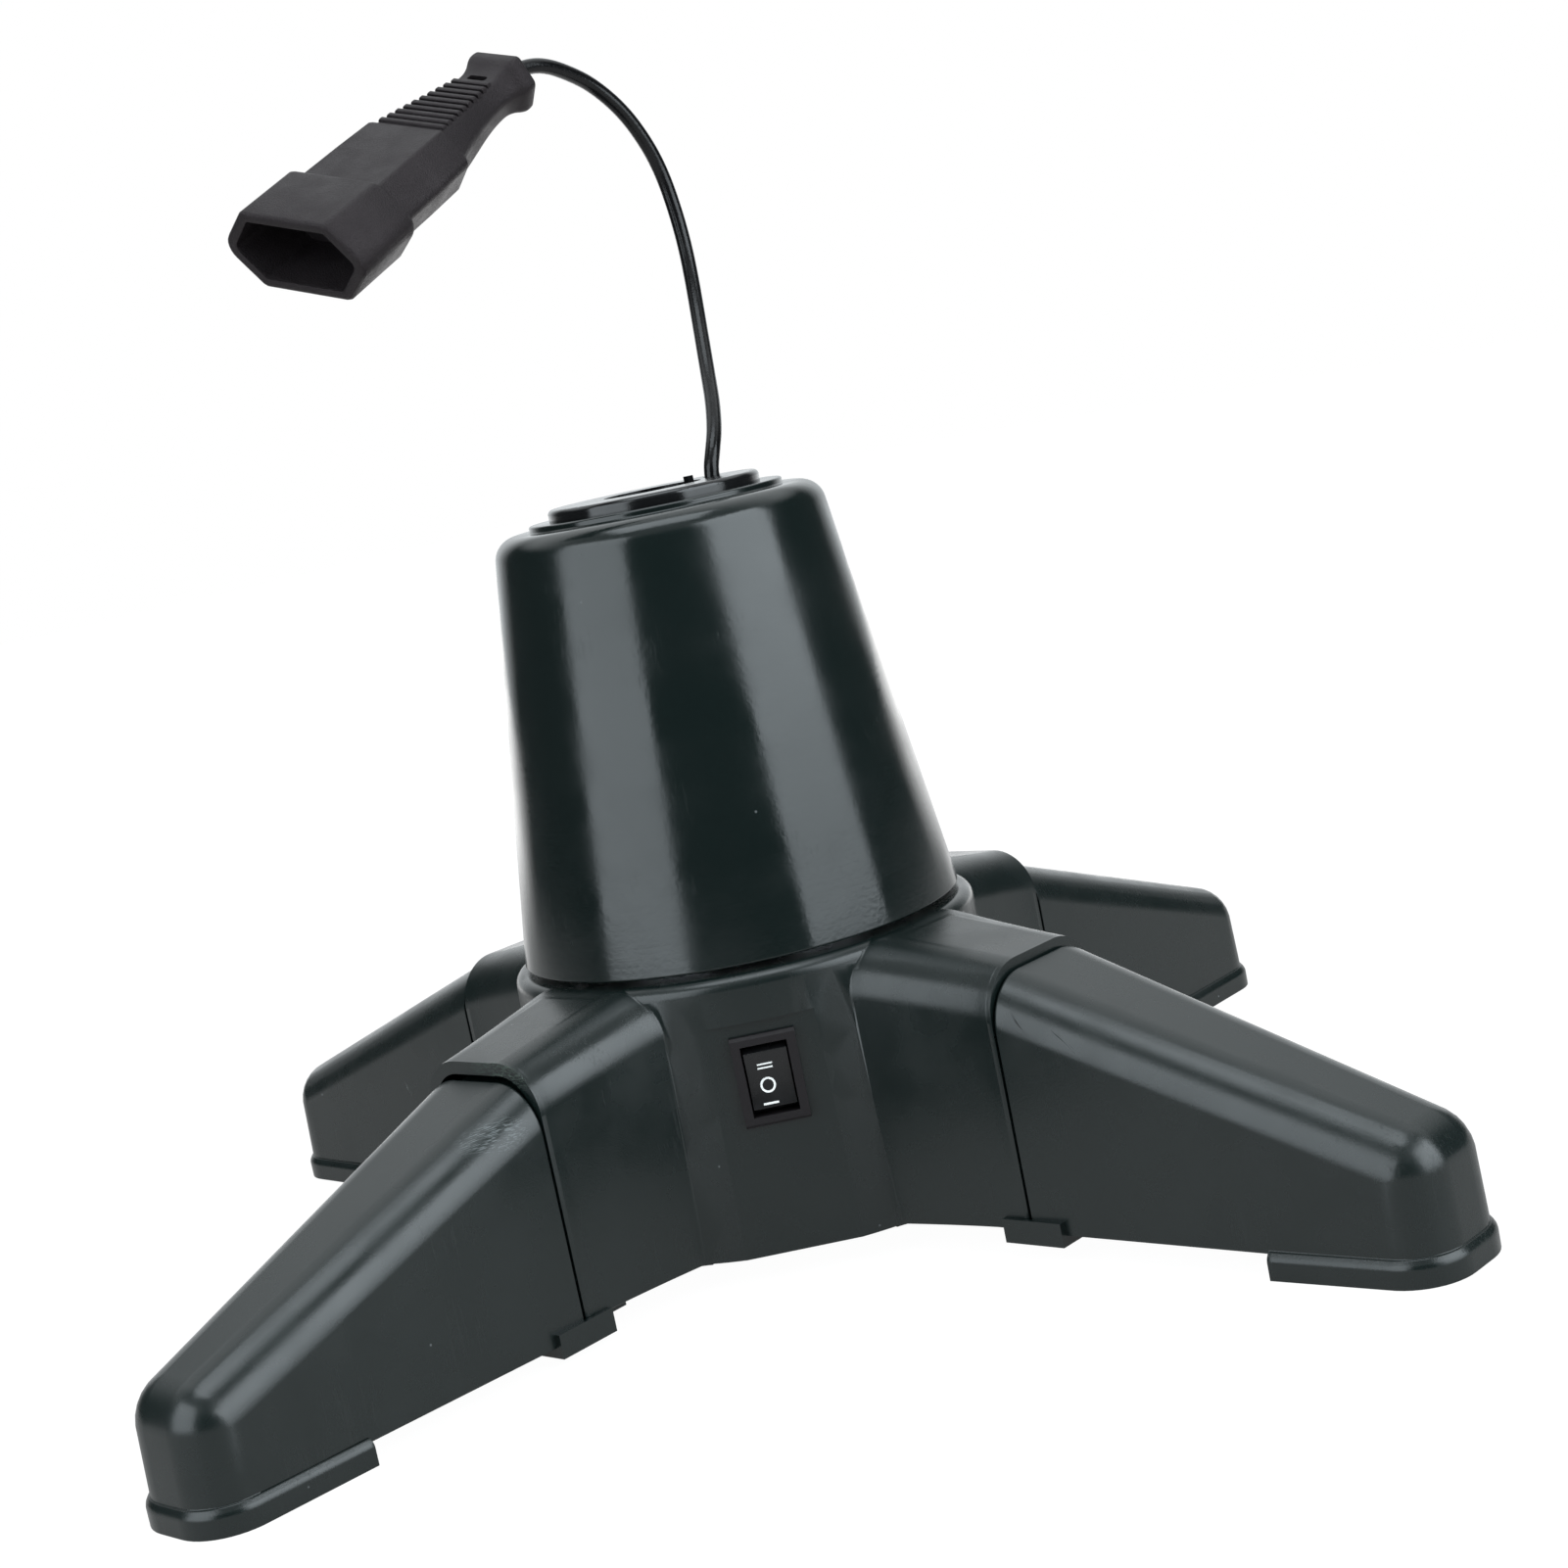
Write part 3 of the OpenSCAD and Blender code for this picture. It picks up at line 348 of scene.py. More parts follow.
def repeat_tree(row: Row) -> bpy.types.NodeTree:
    """Builds the node tree that repeats a piece's mesh round or along the Z axis.

    Args:
        row: round the axis, or along it with each one smaller.

    Returns:
        The tree, with named inputs.
    """
    name = "repeat_in_a_" + row.value
    if name in bpy.data.node_groups:
        return bpy.data.node_groups[name]
    tree = bpy.data.node_groups.new(name, "GeometryNodeTree")
    face = tree.interface
    face.new_socket("Shape", in_out="INPUT", socket_type="NodeSocketGeometry")
    face.new_socket("Count", in_out="INPUT", socket_type="NodeSocketInt")
    for label in ("Pitch", "Start", "Narrow", "Lower"):
        face.new_socket(label, in_out="INPUT", socket_type="NodeSocketFloat")
    face.new_socket("Finish", in_out="INPUT", socket_type="NodeSocketMaterial")
    face.new_socket("Shape", in_out="OUTPUT", socket_type="NodeSocketGeometry")
    given = add_node(tree, "NodeGroupInput").outputs
    points = add_node(
        tree, "GeometryNodeMeshLine", {"Count": given["Count"], "Offset": (0.0, 0.0, 0.0)}, mode="OFFSET"
    )
    index = add_node(tree, "GeometryNodeInputIndex").outputs[0]
    stepped = add_node(tree, "ShaderNodeMath", {0: index, 1: given["Pitch"]}, operation="MULTIPLY")
    place = add_node(tree, "ShaderNodeMath", {0: stepped.outputs[0], 1: given["Start"]}, operation="ADD")
    vector = add_node(tree, "ShaderNodeCombineXYZ", {2: place.outputs[0]})
    copies = add_node(
        tree, "GeometryNodeInstanceOnPoints", {"Points": points.outputs[0], "Instance": given["Shape"]}
    )
    shapes = copies.outputs[0]
    if row is Row.RING:
        turn = add_node(tree, "FunctionNodeEulerToRotation", {0: vector.outputs[0]})
        tree.links.new(turn.outputs[0], copies.inputs["Rotation"])
    else:
        sizes = []
        for label in ("Narrow", "Lower"):
            less = add_node(tree, "ShaderNodeMath", {0: index, 1: given[label]}, operation="MULTIPLY")
            size = add_node(tree, "ShaderNodeMath", {0: 1.0, 1: less.outputs[0]}, operation="SUBTRACT")
            sizes.append(size.outputs[0])
        scale = add_node(tree, "ShaderNodeCombineXYZ", {0: sizes[0], 1: sizes[1], 2: 1.0})
        tree.links.new(scale.outputs[0], copies.inputs["Scale"])
        moved = add_node(
            tree, "GeometryNodeTranslateInstances", {"Instances": shapes, "Translation": vector.outputs[0]}
        )
        shapes = moved.outputs[0]
    real = add_node(tree, "GeometryNodeRealizeInstances", {0: shapes})
    done = add_node(
        tree, "GeometryNodeSetMaterial", {"Geometry": real.outputs[0], "Material": given["Finish"]}
    )
    add_node(tree, "NodeGroupOutput", {0: done.outputs[0]})
    return tree


def repeat(piece: bpy.types.Object, row: Row, values: dict) -> None:
    """Repeats a piece's mesh by Geometry Nodes and makes the result plain mesh.

    Args:
        piece: the piece with one shape.
        row: how the shapes are set out.
        values: the tree's inputs by name.
    """
    tree = repeat_tree(row)
    made = piece.modifiers.new("repeat", "NODES")
    made.node_group = tree
    for item in tree.interface.items_tree:
        if item.in_out == "INPUT" and item.name in values:
            made[item.identifier] = values[item.name]
    settle(piece)


_FRAME: dict = {}


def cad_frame() -> dict:
    """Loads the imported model, once.

    Returns:
        The model with its nodes by name.
    """
    if not _FRAME:
        _FRAME.update(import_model())
    return _FRAME


# ---- finishes ----


@dataclass(frozen=True)
class RubAndGlint:
    """A patch of fine strokes painted into the colour. Some are rubs and scratches; one is pale specks,
    painted glints of the grain in a highlight.

    In millimetres: where it is, how far it reaches each way and the pitch of its strokes. The turn is in
    degrees. The share says how far the strokes take on the colour.
    """

    at: tuple[float, float, float]
    reach: tuple[float, float, float]
    turn: tuple[float, float, float]
    stroke: tuple[float, float, float]
    colour: str
    share: float


@dataclass(frozen=True)
class Finish:
    """What every finish shares: its name, colour and gloss.

    Grain, mottle, dust and wave are given by their real sizes, in millimetres. The mottle is a share of the
    colour, the wear adds to the roughness, and the sheen tints what is mirrored where it is seen flat on.
    """

    name: str
    colour: str
    roughness: float
    ior: float = 1.53
    grain_mm: float = 0.5
    grain_depth: float = 0.05
    mottle_mm: float = 30.0
    mottle: float = 0.12
    wear: float = 0.0
    gloss_spread: float = 0.06
    metallic: float = 0.0
    specular: float = 0.5
    sheen: str = "ffffff"
    dust_mm: float = 5.9
    dust_share: float = 0.07
    wave: float = 0.0
    rubs_and_glints: tuple[RubAndGlint, ...] = ()

    def material(self) -> bpy.types.Material:
        """Builds the finish as a node material on Object coordinates, once.

        Returns:
            The material.
        """
        made = bpy.data.materials.get(self.name)
        if made:
            return made
        made = bpy.data.materials.new(self.name)
        made.use_nodes = True
        tree = made.node_tree
        tree.nodes.clear()
        out = add_node(tree, "ShaderNodeOutputMaterial")
        shader = add_node(tree, "ShaderNodeBsdfPrincipled")
        shader.inputs["Metallic"].default_value = self.metallic
        shader.inputs["IOR"].default_value = self.ior
        shader.inputs["Specular IOR Level"].default_value = self.specular
        shader.inputs["Specular Tint"].default_value = linear(self.sheen)
        tree.links.new(shader.outputs["BSDF"], out.inputs["Surface"])
        self.paint(tree, shader)
        return made

    def paint(self, tree: bpy.types.NodeTree, shader: bpy.types.Node) -> None:
        """Adds colour, gloss and grain to the shader.

        Args:
            tree: the material's tree.
            shader: its shader.
        """
        where = add_node(tree, "ShaderNodeTexCoord").outputs["Object"]
        mottle = add_node(
            tree,
            "ShaderNodeTexNoise",
            {"Vector": where, "Scale": 1000 / self.mottle_mm, "Detail": 4.0, "Roughness": 0.6},
        )
        base = linear(self.colour)
        low = tuple(c * (1 - self.mottle) for c in base[:3]) + (1.0,)
        high = tuple(min(1.0, c * (1 + self.mottle)) for c in base[:3]) + (1.0,)
        tint = add_node(
            tree,
            "ShaderNodeMix",
            {0: mottle.outputs["Fac"], 6: low, 7: high},
            data_type="RGBA",
            blend_type="MIX",
        )
        colour = tint.outputs[2]
        gloss_mm = self.mottle_mm * 0.35
        gloss_noise = add_node(
            tree, "ShaderNodeTexNoise", {"Vector": where, "Scale": 1000 / gloss_mm, "Detail": 5.0}
        )
        least, most = self.roughness - self.gloss_spread, self.roughness + self.gloss_spread
        gloss = add_node(
            tree, "ShaderNodeMapRange", {0: gloss_noise.outputs["Fac"], 1: 0.3, 2: 0.7, 3: least, 4: most}
        )
        rough = gloss.outputs[0]
        if self.wear > 0:
            colour, rough = self.scuffs(tree, where, colour, rough)
        for rub_and_glint in self.rubs_and_glints:
            colour, rough = self.add_rub_and_glint(tree, where, colour, rough, rub_and_glint)
        tree.links.new(colour, shader.inputs["Base Color"])
        tree.links.new(rough, shader.inputs["Roughness"])
        grain = add_node(
            tree,
            "ShaderNodeTexNoise",
            {"Vector": where, "Scale": 1000 / self.grain_mm, "Detail": 3.0, "Roughness": 0.55},
        )
        bump = add_node(
            tree,
            "ShaderNodeBump",
            {"Height": grain.outputs["Fac"], "Strength": self.grain_depth, "Distance": self.grain_mm * MM},
        )
        tree.links.new(bump.outputs["Normal"], shader.inputs["Normal"])
        # the mould's swell, 22 mm wide and 36 mm high, and its draw lines, 1.1 mm apart and a tenth as deep
        swell = ((45.0, 45.0, 28.0), 1.0, self.wave)
        draw_lines = ((25.0, 25.0, 900.0), 3.0, self.wave * 0.1)
        below = bump
        for scale, detail, depth in (swell, draw_lines) if self.wave > 0 else ():
            run = add_node(tree, "ShaderNodeMapping", {"Vector": where, "Scale": scale})
            noise = add_node(
                tree, "ShaderNodeTexNoise", {"Vector": run.outputs["Vector"], "Scale": 1.0, "Detail": detail}
            )
            relief = add_node(
                tree,
                "ShaderNodeBump",
                {"Height": noise.outputs["Fac"], "Strength": 1.0, "Distance": depth * MM},
            )
            tree.links.new(relief.outputs["Normal"], below.inputs["Normal"])
            below = relief

    def add_rub_and_glint(
        self, tree: bpy.types.NodeTree, where: bpy.types.NodeSocket, colour: bpy.types.NodeSocket,
        rough: bpy.types.NodeSocket, rub_and_glint: RubAndGlint,
    ) -> tuple[bpy.types.NodeSocket, bpy.types.NodeSocket]:  # fmt: skip
        """Adds one patch of strokes to the colour, whose strokes run along its own X: wear for most patches,
        painted glints for one.

        Args:
            tree: the material's tree.
            where: the coordinates.
            colour: the colour so far.
            rough: the roughness so far.
            rub_and_glint: the patch.

        Returns:
            The new colour and roughness.
        """
        spot = tuple(v * MM for v in rub_and_glint.at)
        turn = tuple(math.radians(v) for v in rub_and_glint.turn)
        size = tuple(v * MM for v in rub_and_glint.reach)
        local = add_node(
            tree,
            "ShaderNodeMapping",
            {"Vector": where, "Location": spot, "Rotation": turn, "Scale": size},
            vector_type="TEXTURE",
        ).outputs["Vector"]
        far = add_node(tree, "ShaderNodeVectorMath", {0: local}, operation="LENGTH")
        inside = add_node(
            tree, "ShaderNodeMapRange", {0: far.outputs["Value"], 1: 1.0, 2: 0.45, 3: 0.0, 4: 1.0}
        )
        counts = tuple(reach / pitch for reach, pitch in zip(rub_and_glint.reach, rub_and_glint.stroke))
        drawn = add_node(tree, "ShaderNodeVectorMath", {0: local, 1: counts}, operation="MULTIPLY")
        strokes = add_node(
            tree, "ShaderNodeTexNoise", {"Vector": drawn.outputs["Vector"], "Scale": 1.0, "Detail": 2.0}
        )
        edge = add_node(
            tree, "ShaderNodeMapRange", {0: strokes.outputs["Fac"], 1: 0.52, 2: 0.6, 3: 0.0, 4: rub_and_glint.share}
        )
        shown = add_node(
            tree, "ShaderNodeMath", {0: edge.outputs[0], 1: inside.outputs[0]}, operation="MULTIPLY"
        )
        worn_and_glinting = add_node(
            tree,
            "ShaderNodeMix",
            {0: shown.outputs[0], 6: colour, 7: linear(rub_and_glint.colour)},
            data_type="RGBA",
            blend_type="MIX",
        )
        dull = add_node(
            tree, "ShaderNodeMath", {0: shown.outputs[0], 1: 0.5, 2: rough}, operation="MULTIPLY_ADD"
        )
        return worn_and_glinting.outputs[2], dull.outputs[0]

    def scuffs(
        self, tree: bpy.types.NodeTree, where: bpy.types.NodeSocket, colour: bpy.types.NodeSocket,
        rough: bpy.types.NodeSocket,
    ) -> tuple[bpy.types.NodeSocket, bpy.types.NodeSocket]:  # fmt: skip
        """Adds fine rubbed streaks and specks of dust.

        Args:
            tree: the material's tree.
            where: the coordinates.
            colour: the colour so far.
            rough: the roughness so far.

        Returns:
            The new colour and roughness.
        """
        dust_colour, dust_cover = linear("8c9092"), 0.35
        # streaks 0.7 mm wide and 11 mm long, in patches some 22 mm across
        stretch = add_node(
            tree,
            "ShaderNodeMapping",
            {"Vector": where, "Scale": (1400.0, 1400.0, 90.0), "Rotation": (0.5, 0.3, 0.2)},
        )
        streaks = add_node(
            tree, "ShaderNodeTexNoise", {"Vector": stretch.outputs["Vector"], "Scale": 1.0, "Detail": 2.0}
        )
        patch = add_node(tree, "ShaderNodeTexNoise", {"Vector": where, "Scale": 45.0, "Detail": 2.0})
        rubbed = add_node(
            tree, "ShaderNodeMath", {0: streaks.outputs["Fac"], 1: patch.outputs["Fac"]}, operation="MULTIPLY"
        )
        lines = add_node(
            tree, "ShaderNodeMapRange", {0: rubbed.outputs[0], 1: 0.36, 2: 0.46, 3: 0.0, 4: self.wear}
        )
        rougher = add_node(
            tree, "ShaderNodeMath", {0: rough, 1: lines.outputs[0]}, operation="ADD", use_clamp=True
        )
        # a dot of a few hundredths of a cell, in the share of the cells that holds dust
        specks = add_node(
            tree, "ShaderNodeTexVoronoi", {"Vector": where, "Scale": 1000 / self.dust_mm, "Randomness": 1.0}
        )
        dot = add_node(
            tree, "ShaderNodeMapRange", {0: specks.outputs["Distance"], 1: 0.035, 2: 0.06, 3: 1.0, 4: 0.0}
        )
        pick = add_node(tree, "ShaderNodeSeparateColor", {0: specks.outputs["Color"]})
        some = add_node(
            tree, "ShaderNodeMath", {0: pick.outputs[0], 1: 1 - self.dust_share}, operation="GREATER_THAN"
        )
        shown = add_node(
            tree, "ShaderNodeMath", {0: dot.outputs[0], 1: some.outputs[0]}, operation="MULTIPLY"
        )
        fade = add_node(tree, "ShaderNodeMath", {0: shown.outputs[0], 1: dust_cover}, operation="MULTIPLY")
        dusted = add_node(
            tree,
            "ShaderNodeMix",
            {0: fade.outputs[0], 6: colour, 7: dust_colour},
            data_type="RGBA",
            blend_type="MIX",
        )
        return dusted.outputs[2], rougher.outputs[0]


RUBS_AND_GLINTS = (
    # the front left leg's shoulder, where it is handled
    RubAndGlint(
        at=(16.3, -102.4, 54.5),
        reach=(10.0, 4.5, 5.0),
        turn=(20, 0, 68),
        stroke=(2.6, 0.2, 0.2),
        colour="8d9394",
        share=0.45,
    ),
    # on the hub beside that leg's stub: pale specks that are painted glints of the grain where the shoulder's
    # highlight falls
    RubAndGlint(
        at=(18.3, -56.5, 64.8),
        reach=(4.5, 8.0, 4.5),
        turn=(0, 0, 0),
        stroke=(0.22, 0.22, 0.22),
        colour="6c7270",
        share=0.3,
    ),
    # a faint lighter greenish band of streaks at the top of that stub's end
    RubAndGlint(
        at=(12.0, -90.9, 66.3),
        reach=(16.0, 0.9, 6.0),
        turn=(0, 0, 0),
        stroke=(1.4, 0.25, 0.2),
        colour="4c5a50",
        share=0.6,
    ),
    # two dark scratches down the front right leg's side
    RubAndGlint(
        at=(98.2, -18.5, 54.0),
        reach=(4.5, 2.5, 0.6),
        turn=(0, 50, -10),
        stroke=(6.0, 0.6, 0.3),
        colour="050606",
        share=0.8,
    ),
    RubAndGlint(
        at=(108.5, -17.6, 51.0),
        reach=(5.0, 2.5, 0.6),
        turn=(0, 38, -10),
        stroke=(6.0, 0.6, 0.3),
        colour="050606",
        share=0.8,
    ),
    # a pale scratch on the back left leg
    RubAndGlint(
        at=(-125.8, -17.7, 30.0),
        reach=(3.0, 2.0, 0.8),
        turn=(0, 70, 0),
        stroke=(4.0, 0.5, 0.25),
        colour="6c7270",
        share=0.35,
    ),
)
# ABS moulded in a polished tool: dark green-black, a soft gloss that shows the lamps as blurred bands.
SHELL = Finish(
    "moulded_abs_green_black",
    "0f1817",
    roughness=0.27,
    grain_mm=0.5,
    grain_depth=0.05,
    mottle_mm=40.0,
    mottle=0.10,
    wear=0.10,
    rubs_and_glints=RUBS_AND_GLINTS,
)
# The same ABS, finer polished: the lamps stand in it as clear bands, with the mould's swell and draw lines.
CONE = Finish(
    "moulded_abs_cone",
    "0e1716",
    roughness=0.17,
    grain_mm=1.2,
    grain_depth=0.02,
    mottle_mm=50.0,
    mottle=0.08,
    wear=0.08,
    gloss_spread=0.07,
    wave=0.09,
)
# ABS moulded bright: a plain black whose rims catch the lamps as thin white lines.
HEAD = Finish(
    "moulded_abs_black",
    "0f1011",
    roughness=0.17,
    grain_mm=0.35,
    grain_depth=0.04,
    mottle_mm=20.0,
    mottle=0.1,
    wear=0.05,
)
# PVC from a spark-finished tool: black with an even grain that keeps the sides dull, and specks of dust.
SOCKET = Finish(
    "moulded_pvc_grained",
    "161315",
    roughness=0.5,
    grain_mm=0.4,
    grain_depth=0.6,
    mottle_mm=15.0,
    mottle=0.12,
    wear=0.05,
    specular=0.32,
    sheen="fff0f2",
    dust_mm=1.5,
    dust_share=0.15,
)
# Nylon from a smooth tool: a deep black rocker whose dished front shows the lamps as soft patches.
SWITCH = Finish(
    "moulded_nylon_black",
    "0d0d0e",
    roughness=0.3,
    grain_mm=0.25,
    grain_depth=0.06,
    mottle_mm=10.0,
    mottle=0.1,
)
# The same nylon from a satin tool: the frame shows as a soft warm black and no edge of it shines.
FRAME = Finish(
    "moulded_nylon_satin",
    "161214",
    roughness=0.55,
    grain_mm=0.25,
    grain_depth=0.06,
    mottle_mm=10.0,
    mottle=0.1,
    specular=0.3,
)
# Extruded PVC: a black lead with a soft grey line of light along it.
SHEATH = Finish(
    "extruded_pvc_sheath",
    "0b0b0c",
    roughness=0.2,
    grain_mm=0.6,
    grain_depth=0.1,
    mottle_mm=12.0,
    mottle=0.1,
    specular=0.3,
)
# Pad-printed ink: the marks stand out flat and white on the rocker.
PRINT = Finish(
    "pad_printed_white",
    "e9e9e6",
    roughness=0.45,
    ior=1.5,
    grain_mm=0.2,
    grain_depth=0.02,
    mottle_mm=5.0,
    mottle=0.03,
)
# Natural nylon: gears and turntable in a milky cream with a waxy gloss.
NYLON = Finish(
    "natural_nylon", "d8d5c8", roughness=0.4, grain_mm=0.5, grain_depth=0.05, mottle_mm=12.0, mottle=0.05
)
# White polyamide: the terminal block is a cooler, cleaner white than the gears.
POLYAMIDE = Finish(
    "white_polyamide", "e2e1dc", roughness=0.4, grain_mm=0.4, grain_depth=0.05, mottle_mm=12.0, mottle=0.04
)
# Phenolic board: a dull brown with a clouded face.
PHENOLIC = Finish(
    "brown_phenolic",
    "4a2f20",
    roughness=0.45,
    ior=1.6,
    grain_mm=0.4,
    grain_depth=0.08,
    mottle_mm=8.0,
    mottle=0.15,
)
# Zinc-plated steel: screws and motor in a cool grey metal with a slightly uneven gloss.
ZINC = Finish(
    "zinc_plated_steel",
    "b4b6b8",
    roughness=0.32,
    ior=1.5,
    grain_mm=0.3,
    grain_depth=0.05,
    mottle_mm=6.0,
    mottle=0.06,
    metallic=1.0,
)
# Rolled and polished steel: the races are glossier and evener than the screws.
RACE = Finish(
    "polished_steel",
    "a9abae",
    roughness=0.22,
    ior=1.5,
    grain_mm=0.3,
    grain_depth=0.03,
    mottle_mm=10.0,
    mottle=0.05,
    gloss_spread=0.05,
    metallic=1.0,
)
# Ground steel: each ball is a small mirror.
BALL = Finish(
    "bearing_steel",
    "cfd1d3",
    roughness=0.08,
    ior=1.5,
    grain_mm=0.3,
    grain_depth=0.0,
    mottle_mm=4.0,
    mottle=0.03,
    gloss_spread=0.02,
    metallic=1.0,
)
# Turned brass: terminals and contacts in a warm yellow.
BRASS = Finish(
    "turned_brass",
    "c9a552",
    roughness=0.28,
    ior=1.5,
    grain_mm=0.3,
    grain_depth=0.04,
    mottle_mm=4.0,
    mottle=0.08,
    gloss_spread=0.05,
    metallic=1.0,
)
# Phosphor bronze: rings and springs are redder than the brass.
BRONZE = Finish(
    "phosphor_bronze",
    "b98256",
    roughness=0.3,
    ior=1.5,
    grain_mm=0.3,
    grain_depth=0.04,
    mottle_mm=4.0,
    mottle=0.08,
    gloss_spread=0.05,
    metallic=1.0,
)


class Body(Enum):
    """The model's bodies that pieces ride on."""

    BASE = "base"
    ROTOR = "rotor"
    CAGE = "bearing_cage"
    ROCKER = "rocker"


# ---- sub-assemblies ----


@dataclass
class ConeCover:
    """The tapered shell that turns with the pole."""

    foot_r: float = 54.5 * MM
    foot_z: float = 74.0 * MM
    top_r: float = 40.0 * MM
    top_z: float = 177.5 * MM
    rounding: float = 6.0 * MM
    wall: float = 2.4 * MM
    collar_r: float = 31.2 * MM
    collar_z: float = 179.1 * MM
    hole_r: float = 20.3 * MM
    # the ribs inside: how many, and in millimetres half of one's thickness and its side as radius and height
    rib_count: int = 6
    rib_half: float = 0.9
    rib_side: Sequence[tuple[float, float]] = (
        (37.8, 82.9),
        (51.6, 82.9),
        (38.6, 171.5),
        (36.6, 175.4),
        (30.6, 175.4),
    )

    def build(self) -> bpy.types.Object:
        """Turns the shell's section and dresses it, and sets the ribs inside it.

        Returns:
            The shell.
        """
        w = self.wall
        corners = [
            (self.foot_r, self.foot_z),
            (self.top_r, self.top_z),
            (self.collar_r, self.top_z),
            (self.collar_r, self.collar_z),
            (self.hole_r, self.collar_z),
            (self.hole_r, self.top_z - w),
            (self.top_r - w, self.top_z - w),
            (self.foot_r - w, self.foot_z),
        ]
        radii = [0.5 * MM, self.rounding, 0.6 * MM, 0.6 * MM, 0.3 * MM, 0.2 * MM, self.rounding - w, 0.3 * MM]
        mesh = lathe("cone_cover_skin", rounded(corners, radii, steps=10), steps=256)
        smooth(mesh, 30)
        piece = new_piece("cone_cover_skin", mesh)
        dress(piece, CONE.material())
        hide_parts("cone_cover")
        ribs = new_piece("cone_cover_ribs", self.rib())
        pitch = 2 * math.pi / self.rib_count
        values = {"Count": self.rib_count, "Pitch": pitch, "Start": 0.0, "Finish": CONE.material()}
        repeat(ribs, Row.RING, values)
        for made in (piece, ribs):
            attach(made, Body.ROTOR.value)
        return piece

    def rib(self) -> bpy.types.Mesh:
        """Makes one of the ribs that stand on the turntable, inside the cover.

        Returns:
            Its mesh, on the +X side.
        """
        sides = (-self.rib_half, self.rib_half)
        rings = [[Vector((x, y, z)) * MM for x, z in self.rib_side] for y in sides]
        return mesh_of("cone_cover_ribs", *loft(rings))


# the foot's rim is a soft bead: height, least distance from the axis and width of its three level edges
FOOT_RIMS = ((4.6 * MM, 151.0 * MM, 0.7 * MM), (6.0 * MM, 151.0 * MM, 0.7 * MM), (0.0, 153.0 * MM, 0.7 * MM))


@dataclass
class MouldedNode:
    """A model node whose edges are softened and dressed, with its shape kept."""

    node: str
    body: Body
    finish: Finish
    slot: str
    edge: float = 0.3 * MM
    rims: Sequence[tuple[float, float, float]] = ()

    def build(self) -> bpy.types.Object:
        """Makes the softened copy and dresses it.

        Returns:
            The copy, which stands for the node.
        """
        piece = softened_copy(self.node, self.node + "_skin", self.edge, self.rims)
        dress(piece, self.finish.material())
        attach(piece, self.body.value)
        return piece


